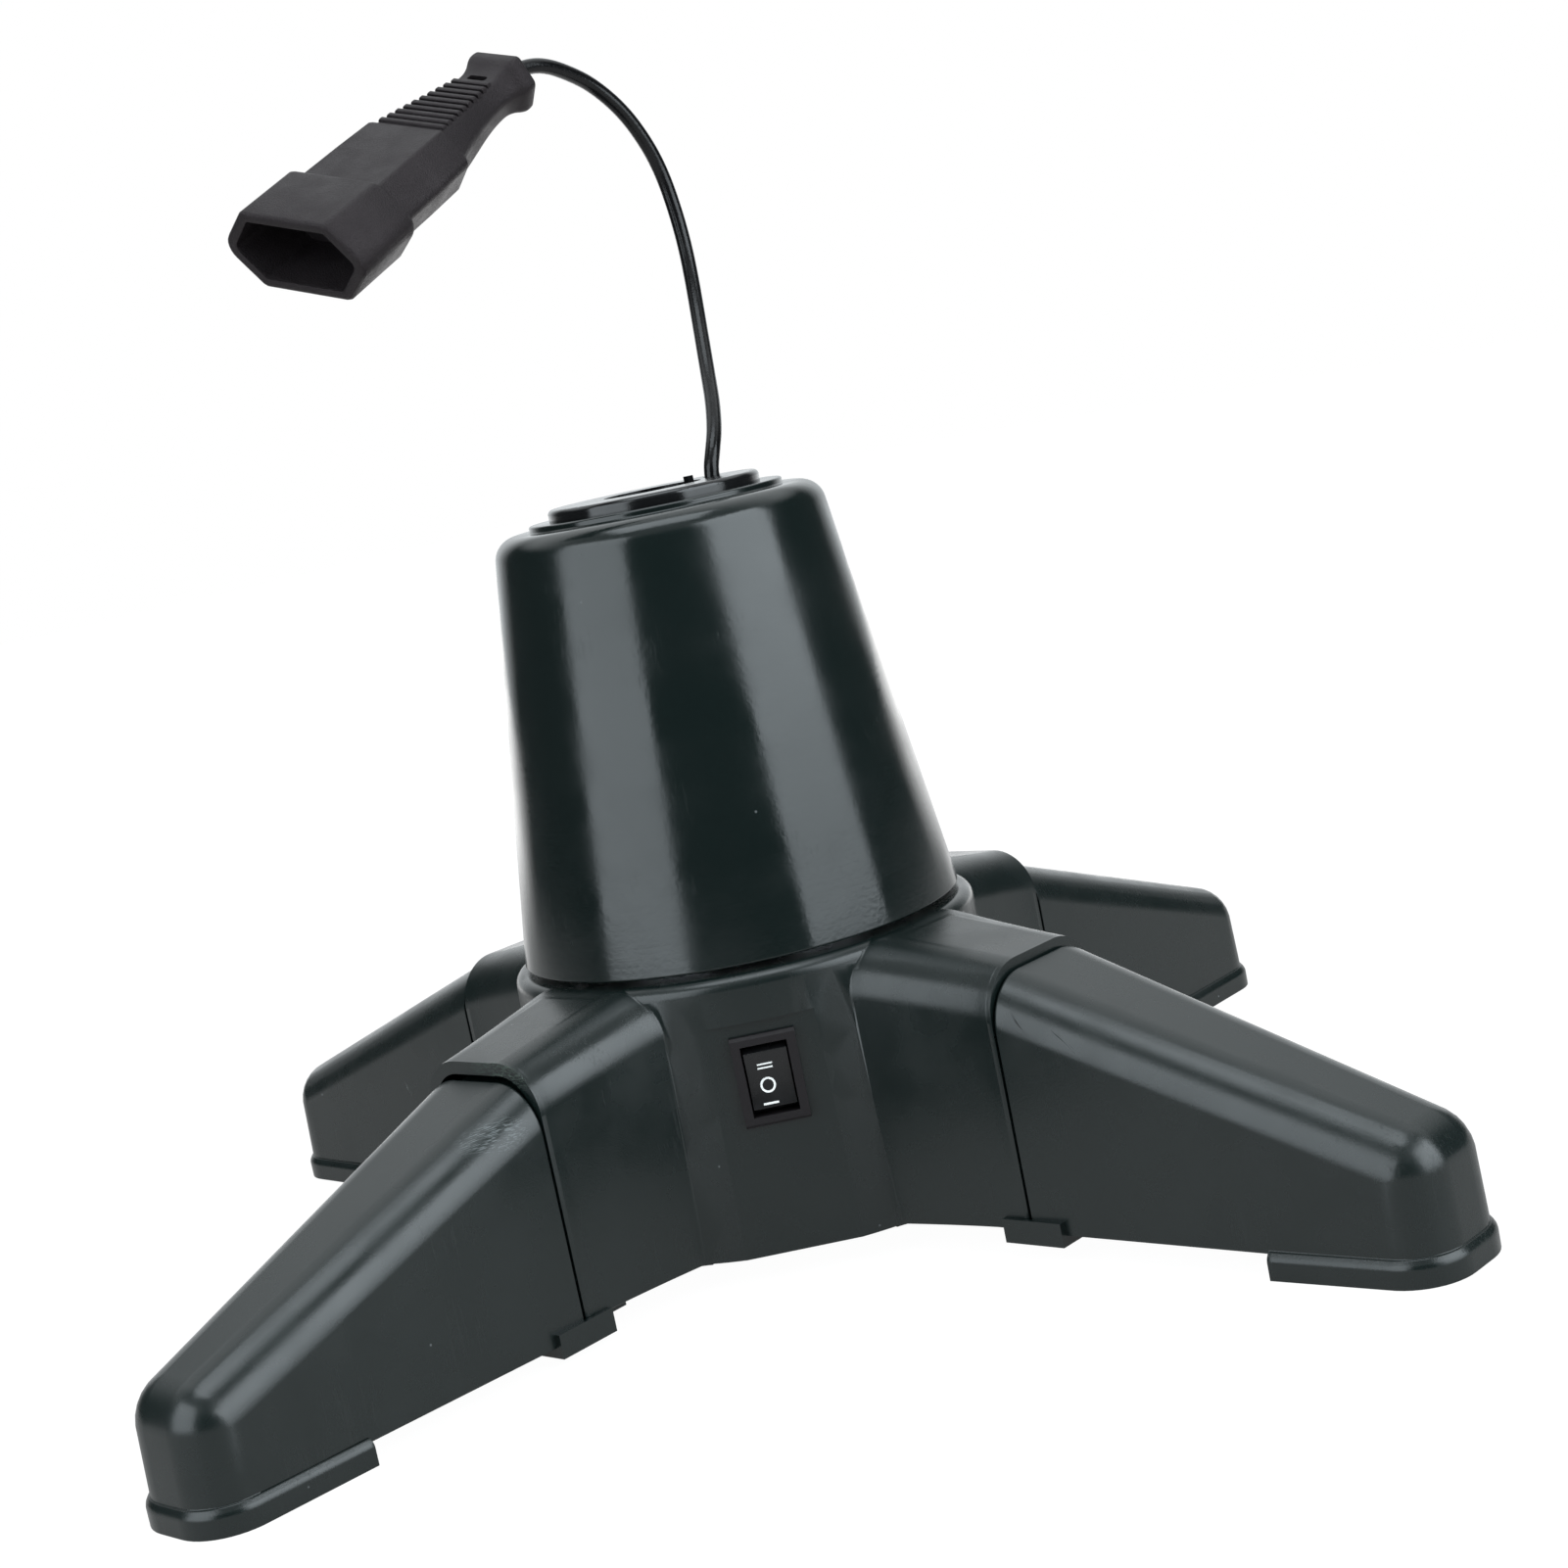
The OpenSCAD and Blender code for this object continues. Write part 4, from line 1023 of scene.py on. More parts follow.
@dataclass
class HubHousing:
    """The hub and its four stubs, which widen towards the hub and meet it in a crisp line.

    Lengths are in millimetres, and a stub is described where it lies along +X. Its flare is measured in the
    photograph; the rest is the model's own.
    """

    foot_z: float = 6.8
    top_r: float = 57.6
    top_z: float = 72.5
    rounding: float = 3.0
    draft: float = math.tan(math.radians(2.0))
    half: float = 19.3
    reach: float = 90.8
    end_z: float = 66.8
    shoulder: float = 11.8
    flare: float = 3.4
    flare_from: float = 88.0
    flare_length: float = 32.0
    # where the skin ends, inside the hub's wall
    wall_start: float = 54.5
    # how far the skin stands proud of the solid, how thick it is, and the rounding of the hub's sharp edges
    proud: float = 0.02
    skin: float = 1.5
    edge: float = 0.3
    # the switch's flat: half its width, and how far down the solid has it
    pad_half: float = 13.5
    pad_foot: float = 15.0
    switch: "Switch" = field(default_factory=lambda: Switch())

    def half_at(self, x: float) -> float:
        """Gives a stub's half width at a distance from the axis."""
        along = max(0.0, (self.flare_from - x) / self.flare_length)
        return self.half + self.flare * along**1.5

    def roof_at(self, x: float) -> float:
        """Gives the height of a stub's top."""
        slope = (self.top_z - self.end_z) / (self.reach - self.top_r)
        return min(self.top_z - 2 * self.proud, self.end_z + (self.reach - x) * slope)

    def saddle(self) -> bpy.types.Mesh:
        """Lofts the skin that widens the four stubs, as a hollow arch over each.

        Returns:
            One mesh of four closed skins.
        """
        span = self.reach - self.wall_start
        # the skin starts sunk in the stub, just behind its end, and is out of it 1.2 mm behind the end
        sunk, out_at, steps = 0.25, 1.2, 24
        places = [(self.reach - out_at / 2, -sunk)]
        places += [(self.reach - out_at - (span - out_at) * k / steps, self.proud) for k in range(steps + 1)]
        foot = self.foot_z + 0.05
        inside, deep = self.half - self.skin, self.shoulder - self.skin
        radii = [0, self.edge, self.shoulder, self.shoulder, self.edge, 0, deep, deep]
        rings = []
        for x, lift in places:
            w, top = self.half_at(x) + lift, self.roof_at(x) + lift
            corners = [(inside, foot), (w, foot), (w, top), (-w, top), (-w, foot), (-inside, foot)]
            corners += [(-inside, top - self.skin), (inside, top - self.skin)]
            lean = self.draft * (self.reach - x) / span
            profile = rounded(corners, radii, steps=20)
            rings.append([Vector((x - (z - self.foot_z) * lean, y, z)) * MM for y, z in profile])
        one, faces = loft(rings)
        verts, all_faces = [], []
        for quarter in range(4):
            turn = Matrix.Rotation(math.pi / 2 * quarter, 4, "Z")
            all_faces += [tuple(v + len(verts) for v in face) for face in faces]
            verts += [turn @ p for p in one]
        return mesh_of("stub_saddles", verts, all_faces)

    def pad_cutter(self) -> bpy.types.Mesh:
        """Makes the cutter that carries the flat round the switch down to the hub's foot.

        Returns:
            A box, turned and placed like the switch.
        """
        below_foot, overlap = 1.0, 0.2
        proud, outside = 0.01, 6.0
        low = self.foot_z - self.switch.height / MM - below_foot
        high = self.pad_foot - self.switch.height / MM + overlap
        verts = [
            (x, y, z)
            for x in (proud, outside)
            for y in (-self.pad_half, self.pad_half)
            for z in (low, high)
        ]
        faces = [(0, 1, 3, 2), (4, 6, 7, 5), (0, 4, 5, 1), (2, 3, 7, 6), (0, 2, 6, 4), (1, 5, 7, 3)]
        mesh = mesh_of("pad_cutter", [Vector(p) * MM for p in verts], faces)
        mesh.transform(self.switch.place())
        return mesh

    @staticmethod
    def soft_corner(a: float, b: float, radius: float) -> float:
        """Joins two distances into that of a rounded convex corner."""
        p, q = max(a + radius, 0.0), max(b + radius, 0.0)
        return min(max(a, b) + radius, 0.0) + math.hypot(p, q) - radius

    def from_hub(self, p: Vector) -> float:
        """Gives the distance outside the hub's round form.

        Args:
            p: a point, in millimetres.

        Returns:
            The distance, which is negative inside.
        """
        wall_r = self.top_r + (self.top_z - p.z) * self.draft
        wall = (math.hypot(p.x, p.y) - wall_r) * math.cos(math.atan(self.draft))
        return self.soft_corner(wall, p.z - self.top_z, self.rounding)

    def from_stub(self, p: Vector) -> float:
        """Gives the distance outside the nearest stub's form."""
        x, y = (abs(p.x), abs(p.y)) if abs(p.x) > abs(p.y) else (abs(p.y), abs(p.x))
        return self.soft_corner(y - self.half_at(x), p.z - self.roof_at(x), self.shoulder)

    @staticmethod
    def slope_of(form: Callable[[Vector], float], p: Vector) -> Vector:
        """Gives the way out of a form at a point.

        Args:
            form: gives the distance outside the form.
            p: the point, in millimetres.

        Returns:
            The way out, of length 1.
        """
        step = 0.02
        ways = [Vector((step, 0, 0)), Vector((0, step, 0)), Vector((0, 0, step))]
        return Vector([form(p + way) - form(p - way) for way in ways]).normalized()

    def shade(self, mesh: bpy.types.Mesh) -> None:
        """Gives the outside the normals of the smooth forms that it follows, and the switch's pad its own.

        Args:
            mesh: the joined mesh, in the model's frame.
        """
        near, same_way = 0.09, 0.985
        on_pad, pad_way = 0.02 * MM, 0.999
        smooth(mesh, 30)
        normals = [Vector((0, 0, 0))] * len(mesh.loops)
        points = [v.co / MM for v in mesh.vertices]
        to_pad = self.switch.place().inverted()
        for face in mesh.polygons:
            centre = face.center / MM
            if abs((to_pad @ face.center).x) < on_pad and (to_pad.to_3x3() @ face.normal).x > pad_way:
                for corner in face.loop_indices:
                    normals[corner] = face.normal.copy()
                continue
            for form in (self.from_hub, self.from_stub):
                if max(abs(form(p)) for p in [centre, *(points[v] for v in face.vertices)]) > near:
                    continue
                if self.slope_of(form, centre).dot(face.normal) < same_way:
                    continue
                for corner, v in zip(face.loop_indices, face.vertices):
                    normals[corner] = self.slope_of(form, points[v])
                break
        mesh.normals_split_custom_set(normals)

    def build(self) -> bpy.types.Object:
        """Joins the softened hub with the widened stubs and dresses it.

        Returns:
            The hub.
        """
        piece = softened_copy("hub_housing", "hub_housing_skin", self.edge * MM)
        tools = [
            ("UNION", new_piece("stub_saddles", self.saddle())),
            ("DIFFERENCE", new_piece("cut", self.pad_cutter())),
        ]
        for work, tool in tools:
            step = piece.modifiers.new("join", "BOOLEAN")
            step.object = tool
            step.operation = work
            step.solver = "EXACT"
        settle(piece)
        for _, tool in tools:
            bpy.data.objects.remove(tool)
        dress(piece, SHELL.material())
        self.shade(piece.data)
        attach(piece, Body.BASE.value)
        return piece


@dataclass
class SocketLead:
    """The black lead from the pole socket to the lamp socket.

    Its route is in millimetres: straight up beside the pole's tube, over in an arch and into the neck.
    """

    diameter: float = 3.8 * MM
    route_mm: Sequence[tuple[float, float, float]] = field(
        default_factory=lambda: [
            (4.4, 16.4, 77), (4.4, 16.4, 88), (4.4, 16.4, 99), (4.4, 16.4, 110), (4.4, 16.4, 121),
            (4.4, 16.4, 132), (4.4, 16.4, 143), (4.4, 16.4, 154), (4.4, 16.4, 165), (4.4, 16.4, 175),
            (4.4, 16.4, 183), (4, 19, 188), (2, 23, 192.5), (-3, 29.5, 199), (-9, 36, 206),
            (-14, 41.5, 214), (-18.5, 46.5, 222), (-22, 50.5, 231.5), (-24.5, 53, 240.5), (-26, 53.5, 250),
            (-26.5, 52, 259.5), (-26.5, 48.5, 267.5), (-27, 43, 276), (-28, 35.5, 283), (-28, 28, 286.5),
            (-28, 20, 289), (-28.5, 13, 288.8), (-28.6, 6.8, 286.4), (-28.6, 0.5, 283.4),
            (-28.6, -5.8, 280.4),
        ]
    )  # fmt: skip

    def points(self) -> list[Vector]:
        """Gives the route in metres."""
        return [Vector(p) * MM for p in self.route_mm]

    def build(self, with_pieces: list) -> bpy.types.Object:
        """Args:
            with_pieces: the pieces on the lead; not used.

        Returns:
            The lead.
        """
        curve = bpy.data.curves.new("socket_lead_sheath", "CURVE")
        curve.dimensions = "3D"
        spline = curve.splines.new("NURBS")
        pts = self.points()
        spline.points.add(len(pts) - 1)
        for slot, p in zip(spline.points, pts):
            slot.co = (*p, 1.0)
        spline.use_endpoint_u = True
        spline.order_u = 3
        spline.resolution_u = 6
        curve.bevel_depth = self.diameter / 2
        curve.bevel_resolution = 6
        curve.use_fill_caps = True
        piece = bpy.data.objects.new("socket_lead_sheath", curve)
        bpy.context.scene.collection.objects.link(piece)
        curve.materials.append(SHEATH.material())
        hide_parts("socket_lead")
        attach(piece, Body.ROTOR.value)
        return piece


@dataclass
class Switch:
    """The rocker switch: its frame, its rocker and the marks I, O and II printed on the rocker.

    Its own frame has X out of the hub's flat, Y across the switch and Z up. The marks are in millimetres.
    """

    bearing: float = -45.0
    height: float = 47.8 * MM
    foot_r: float = 59.894 * MM
    draft: float = 2.0
    flat_half: float = 13.5 * MM
    hub_foot: float = 6.8 * MM
    # the dished front: its ends and how far its middle lies back, its half height and the print's height
    face: float = 1.8 * MM
    dip: float = 1.259 * MM
    reach: float = 7.95 * MM
    lift: float = 0.04 * MM
    bar_half: float = 1.76
    thin: float = 0.38
    bold: float = 0.48
    ring_r: float = 1.78

    def place(self) -> Matrix:
        """Works out where the hub's flat is and how it leans.

        Returns:
            The turn and shift from the switch's own frame to the model's.
        """
        drop = (self.height - self.hub_foot) * math.tan(math.radians(self.draft))
        flat_at = math.sqrt((self.foot_r - drop) ** 2 - self.flat_half**2)
        lean = Matrix.Rotation(math.radians(-self.draft), 4, "Y")
        turn = Matrix.Rotation(math.radians(self.bearing), 4, "Z")
        return turn @ Matrix.Translation((flat_at, 0, self.height)) @ lean

    def on_face(self, y: float, z: float) -> Vector:
        """Lays a point on the rocker's dished front, a hair proud of it."""
        hollow = self.dip * (1 - min(1.0, abs(z) / self.reach))
        return Vector((self.face - hollow + self.lift, y, z))

    def bar(self, mid: float, side: float, line: float) -> tuple[list, list]:
        """Makes one printed bar, which lies across the rocker.

        Args:
            mid: height of its middle.
            side: place of its middle across the rocker.
            line: width of its line.

        Returns:
            Its points and faces.
        """
        points = [
            self.on_face((side + across) * MM, (mid + up) * MM)
            for up in (line / 2, -line / 2)
            for across in (-self.bar_half, self.bar_half)
        ]
        return points, [(0, 1, 3, 2)]

    def ring(self, mid: float, side: float, line: float) -> tuple[list, list]:
        """Makes the printed ring.

        Args:
            mid: height of its centre.
            side: place of its centre across the rocker.
            line: width of its line.

        Returns:
            Its points and faces.
        """
        steps = 48
        points, faces = [], []
        for k in range(steps):
            turn = 2 * math.pi * k / steps
            for radius in (self.ring_r, self.ring_r - line):
                y, z = side + radius * math.cos(turn), mid + radius * math.sin(turn)
                points.append(self.on_face(y * MM, z * MM))
            n = (k + 1) % steps
            faces.append((2 * k, 2 * k + 1, 2 * n + 1, 2 * n))
        return points, faces

    def marks(self) -> bpy.types.Object:
        """Prints two bars, a ring and one bar on the rocker.

        Returns:
            The marks, as one piece.
        """
        shapes = [
            self.bar(3.57, -0.6, self.thin),
            self.bar(2.66, -0.64, self.thin),
            self.bar(-5.62, -0.82, self.bold),
            self.ring(-1.45, -0.73, self.bold),
        ]
        points: list = []
        faces: list = []
        for more, sides in shapes:
            faces += [tuple(v + len(points) for v in side) for side in sides]
            points += more
        piece = new_piece("rocker_marks", mesh_of("rocker_marks", points, faces))
        skin = piece.modifiers.new("ink", "SOLIDIFY")
        skin.thickness = 0.06 * MM
        skin.offset = -1.0
        settle(piece)
        piece.data.transform(self.place())
        dress(piece, PRINT.material())
        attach(piece, Body.ROCKER.value)
        return piece

    def build(self) -> None:
        """Softens the frame and the rocker and prints the marks."""
        MouldedNode("switch_frame", Body.BASE, FRAME, "switch_black", 0.22 * MM).build()
        MouldedNode("switch_rocker", Body.ROCKER, SWITCH, "switch_black").build()
        self.marks()


@dataclass
class LampSocket:
    """The six-sided lamp socket: shroud, body, ribbed neck and end flange.

    Lengths are in millimetres. Its own frame has Z along the socket, with the mouth at 0 and the neck at
    -Z, X from point to point and Y across the flats.
    """

    # where the mouth's middle is, and in degrees how far the socket dips and rolls
    at: tuple[float, float, float] = (-28.6, -68.4, 250.4)
    dip: float = 25.6
    roll: float = -19.7
    half_w: float = 22.4
    flat: float = 13.1
    half_h: float = 9.95
    shroud: float = 19.8
    recess: float = 17.0
    wall_w: float = 4.05
    wall_flat: float = 1.5
    wall_h: float = 2.55
    pin_spacing: float = 19.0
    # each a radius and two ends along the axis: the lead's bore, a contact's bore and its wider inner end
    lead_bore: tuple[float, float, float] = (2.0, -90.0, -68.4)
    pin_bore: tuple[float, float, float] = (2.4, -38.0, -16.0)
    pin_seat: tuple[float, float, float] = (2.9, -39.0, -21.0)
    slot_at: float = -74.1
    slot_half: tuple[float, float] = (2.8, 0.9)
    slot_round: float = 0.7
    # the neck's ribs: how many, how far apart, and the share by which each is narrower and lower
    rib_count: int = 10
    rib_pitch: float = 2.55
    rib_narrow: float = 0.0475
    rib_lower: float = 0.0267
    rib_start: float = 2.1
    rib_round: float = 0.5
    # one rib's sections: distance along the neck, half width and height
    rib_rows: Sequence[tuple[float, float, float]] = (
        (-0.75, 9.9, 6.5),
        (-0.65, 10.0, 7.4),
        (-0.45, 9.9, 7.6),
        (0.45, 9.9, 7.6),
        (0.65, 10.0, 7.4),
        (0.75, 9.9, 6.5),
    )
    corner_steps: int = 6
    point_round: float = 1.7
    # place along the axis, half width, half flat, half height and corner radius
    body: Sequence[tuple[float, float, float, float, float]] = (
        (-20.6, 18.9, 12.0, 8.1, 1.6),
        (-22.0, 18.3, 11.7, 7.95, 1.3),
        (-34.0, 17.9, 11.5, 7.9, 1.2),
        (-45.6, 17.2, 11.1, 7.8, 1.2),
        (-46.4, 16.7, 10.8, 7.5, 1.2),
    )
    neck: Sequence[tuple[float, float, float, float, float]] = (
        (-46.6, 15.0, 10.2, 7.1, 1.4),
        (-50.0, 13.4, 9.6, 6.8, 1.6),
        (-55.0, 11.6, 8.7, 6.4, 1.8),
        (-60.0, 10.1, 7.6, 6.0, 1.8),
        (-65.0, 8.9, 6.5, 5.6, 1.8),
        (-70.0, 8.1, 5.7, 5.3, 1.8),
        (-74.5, 8.0, 5.5, 5.2, 1.8),
        (-77.5, 8.6, 5.9, 5.7, 1.8),
        (-79.8, 9.7, 6.6, 6.6, 1.8),
        (-81.2, 10.0, 6.8, 6.9, 1.6),
        (-83.0, 9.9, 6.7, 6.8, 1.4),
        (-83.4, 9.5, 6.4, 6.4, 1.2),
    )

    def place(self) -> Matrix:
        """Gives the turn and shift from the socket's own frame, in millimetres, to the model's."""
        return (
            Matrix.Scale(MM, 4)
            @ Matrix.Translation(self.at)
            @ Matrix.Rotation(math.radians(90 + self.dip), 4, "X")
            @ Matrix.Rotation(math.radians(self.roll), 4, "Z")
        )

    def section(self, z: float, a: float, b: float, h: float, r: float) -> list[tuple[float, float, float]]:
        """Makes one rounded six-sided section.

        Args:
            z: its place along the axis.
            a: half its width, from point to point.
            b: half the length of its flat sides.
            h: half its height.
            r: rounding of its corners; the two side points are rounder.

        Returns:
            Its points, in order.
        """
        corners = [(a, 0), (b, h), (-b, h), (-a, 0), (-b, -h), (b, -h)]
        side = r * self.point_round
        return [(x, y, z) for x, y in rounded(corners, [side, r, r, side, r, r], self.corner_steps)]

    def smooth_run(self, rows: Sequence[tuple[float, ...]], steps: int = 5) -> list[tuple[float, ...]]:
        """Draws a smooth curve through a table's rows.

        Args:
            rows: the table.
            steps: new rows for each old one.

        Returns:
            The finer table.
        """
        last = len(rows) - 1
        out = []
        for i in range(last):
            p0, p1, p2, p3 = (Vector(rows[max(0, min(last, i + k))]) for k in (-1, 0, 1, 2))
            for step in range(steps):
                t = step / steps
                bend = (2 * p0 - 5 * p1 + 4 * p2 - p3) * t * t
                twist = (3 * p1 - p0 - 3 * p2 + p3) * t**3
                out.append(tuple(0.5 * (2 * p1 + (p2 - p0) * t + bend + twist)))
        out.append(tuple(rows[-1]))
        return out

    def shell(self) -> bpy.types.Mesh:
        """Lofts the whole socket as one closed skin, from the recess's floor to the end flange.

        Returns:
            Its mesh, in the socket's own frame.
        """
        a, b, h = self.half_w, self.flat, self.half_h
        ia, ib, ih = a - self.wall_w, b - self.wall_flat, h - self.wall_h
        # up the recess, over the mouth's rounded rim and down the shroud to its step, in the body's columns
        rows = [
            (-self.recess, ia - 0.5, ib - 0.4, ih - 0.4, 1.0),
            (-self.recess + 0.8, ia - 0.2, ib - 0.2, ih - 0.2, 1.0),
            (-0.7, ia, ib, ih, 1.1),
            (-0.15, ia + 0.2, ib + 0.12, ih + 0.2, 1.2),
            (0.0, ia + 0.6, ib + 0.3, ih + 0.5, 1.3),
            (0.0, a - 0.9, b - 0.5, h - 0.8, 2.4),
            (-0.2, a - 0.4, b - 0.2, h - 0.35, 2.5),
            (-0.9, a, b, h, 2.6),
            (-self.shroud + 1.0, a - 0.1, b - 0.1, h - 0.1, 2.6),
            (-self.shroud + 0.2, a - 0.6, b - 0.3, h - 0.5, 2.4),
            (-self.shroud, a - 1.3, b - 0.7, h - 1.0, 2.2),
        ]
        rows += list(self.body) + self.smooth_run(self.neck)
        return mesh_of("lamp_socket_skin", *loft([self.section(*row) for row in rows]))

    def cutter(self, x: float, bore: tuple[float, float, float]) -> bpy.types.Object:
        """Makes a round cutter along the axis.

        Args:
            x: its place across the socket.
            bore: its radius and its two ends.

        Returns:
            The cutter.
        """
        radius, z0, z1 = bore
        work = bmesh.new()
        bmesh.ops.create_cone(
            work,
            cap_ends=True,
            segments=32,
            radius1=radius,
            radius2=radius,
            depth=abs(z1 - z0),
            matrix=Matrix.Translation((x, 0, (z0 + z1) / 2)),
        )
        mesh = bpy.data.meshes.new("cutter")
        work.to_mesh(mesh)
        work.free()
        return new_piece("cutter", mesh)

    def slot_cutter(self) -> bpy.types.Object:
        """Makes the cutter for the slot that goes through the neck, with rounded ends.

        Returns:
            The cutter.
        """
        w, h = self.slot_half
        profile = rounded([(-w, -h), (w, -h), (w, h), (-w, h)], [self.slot_round] * 4, steps=4)
        rings = [[(x, y, z + self.slot_at) for x, z in profile] for y in (-self.half_h, self.half_h)]
        return new_piece("cutter", mesh_of("cutter", *loft(rings)))

    def ribs(self) -> bpy.types.Object:
        """Repeats one rib down the neck's upper flat, narrower and lower each time.

        Returns:
            The ribs, in the socket's own frame.
        """
        rings = []
        for z, half, high in self.rib_rows:
            corners = [(half, high), (-half, high), (-half, 0.0), (half, 0.0)]
            rings.append([(x, y, z) for x, y in rounded(corners, [self.rib_round] * 4, steps=3)])
        piece = new_piece("lamp_socket_ribs", mesh_of("lamp_socket_ribs", *loft(rings)))
        values = {
            "Count": self.rib_count,
            "Pitch": -self.rib_pitch,
            "Start": self.body[-1][0] - self.rib_start,
            "Narrow": self.rib_narrow,
            "Lower": self.rib_lower,
            "Finish": SOCKET.material(),
        }
        repeat(piece, Row.LINE, values)
        return piece

    def build(self) -> list[bpy.types.Object]:
        """Builds the socket and its ribs, in place.

        Returns:
            The two pieces.
        """
        piece = new_piece("lamp_socket_skin", self.shell())
        cutters = [self.slot_cutter(), self.cutter(0, self.lead_bore)]
        for x in (-self.pin_spacing / 2, self.pin_spacing / 2):
            cutters += [self.cutter(x, self.pin_bore), self.cutter(x, self.pin_seat)]
        for tool in cutters:
            cut = piece.modifiers.new("cut", "BOOLEAN")
            cut.object = tool
            cut.operation = "DIFFERENCE"
            cut.solver = "EXACT"
        settle(piece)
        for tool in cutters:
            bpy.data.objects.remove(tool)
        dress(piece, SOCKET.material())
        ribs = self.ribs()
        for made in (piece, ribs):
            made.data.transform(self.place())
            smooth(made.data, 40)
            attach(made, Body.ROTOR.value)
        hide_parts("lamp_socket")
        return [piece, ribs]


@dataclass
class BearingBalls:
    """The ring of balls that the turntable rolls on."""

    count: int = 16
    diameter: float = 6.0 * MM
    circle_r: float = 37.0 * MM
    height: float = 75.7 * MM

    def build(self) -> bpy.types.Object:
        """Repeats one ball round the ring.

        Returns:
            The balls, as one piece.
        """
        work = bmesh.new()
        spot = Matrix.Translation((self.circle_r, 0, self.height))
        bmesh.ops.create_icosphere(work, subdivisions=3, radius=self.diameter / 2, matrix=spot)
        mesh = bpy.data.meshes.new("bearing_balls_skin")
        work.to_mesh(mesh)
        work.free()
        piece = new_piece("bearing_balls_skin", mesh)
        pitch = 2 * math.pi / self.count
        values = {"Count": self.count, "Pitch": pitch, "Start": 0.0, "Finish": BALL.material()}
        repeat(piece, Row.RING, values)
        smooth(piece.data)
        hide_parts("bearing_balls")
        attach(piece, Body.CAGE.value)
        return piece


@dataclass
class Mechanism:
    """The inner pieces, which keep the model's own solids."""

    finishes: dict = field(
        default_factory=lambda: {
            "turntable": NYLON,
            "socket_screws": ZINC,
            "upper_race": RACE,
            "ball_cage": NYLON,
            "lower_race": RACE,
            "drive_gear": NYLON,
            "gear_screws": ZINC,
            "slip_rings": BRONZE,
            "pinion": NYLON,
            "motor_shaft": ZINC,
            "motor_can": ZINC,
            "motor_plate": ZINC,
            "motor_screws": ZINC,
            "brush_holder": PHENOLIC,
            "brush_springs": BRONZE,
            "brush_screws": ZINC,
            "bottom_cover": SHELL,
            "cover_screws": ZINC,
            "cable_gland": HEAD,
            "terminal_block": POLYAMIDE,
            "terminal_screws": BRASS,
            "switch_terminals": BRASS,
            "lead_tie": NYLON,
            "socket_contacts": BRASS,
        }
    )

    def build(self) -> None:
        """Gives each node its finish."""
        for name, finish in self.finishes.items():
            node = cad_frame()["nodes"][name]
            dress(node, finish.material())


# ---- camera, light and floor ----


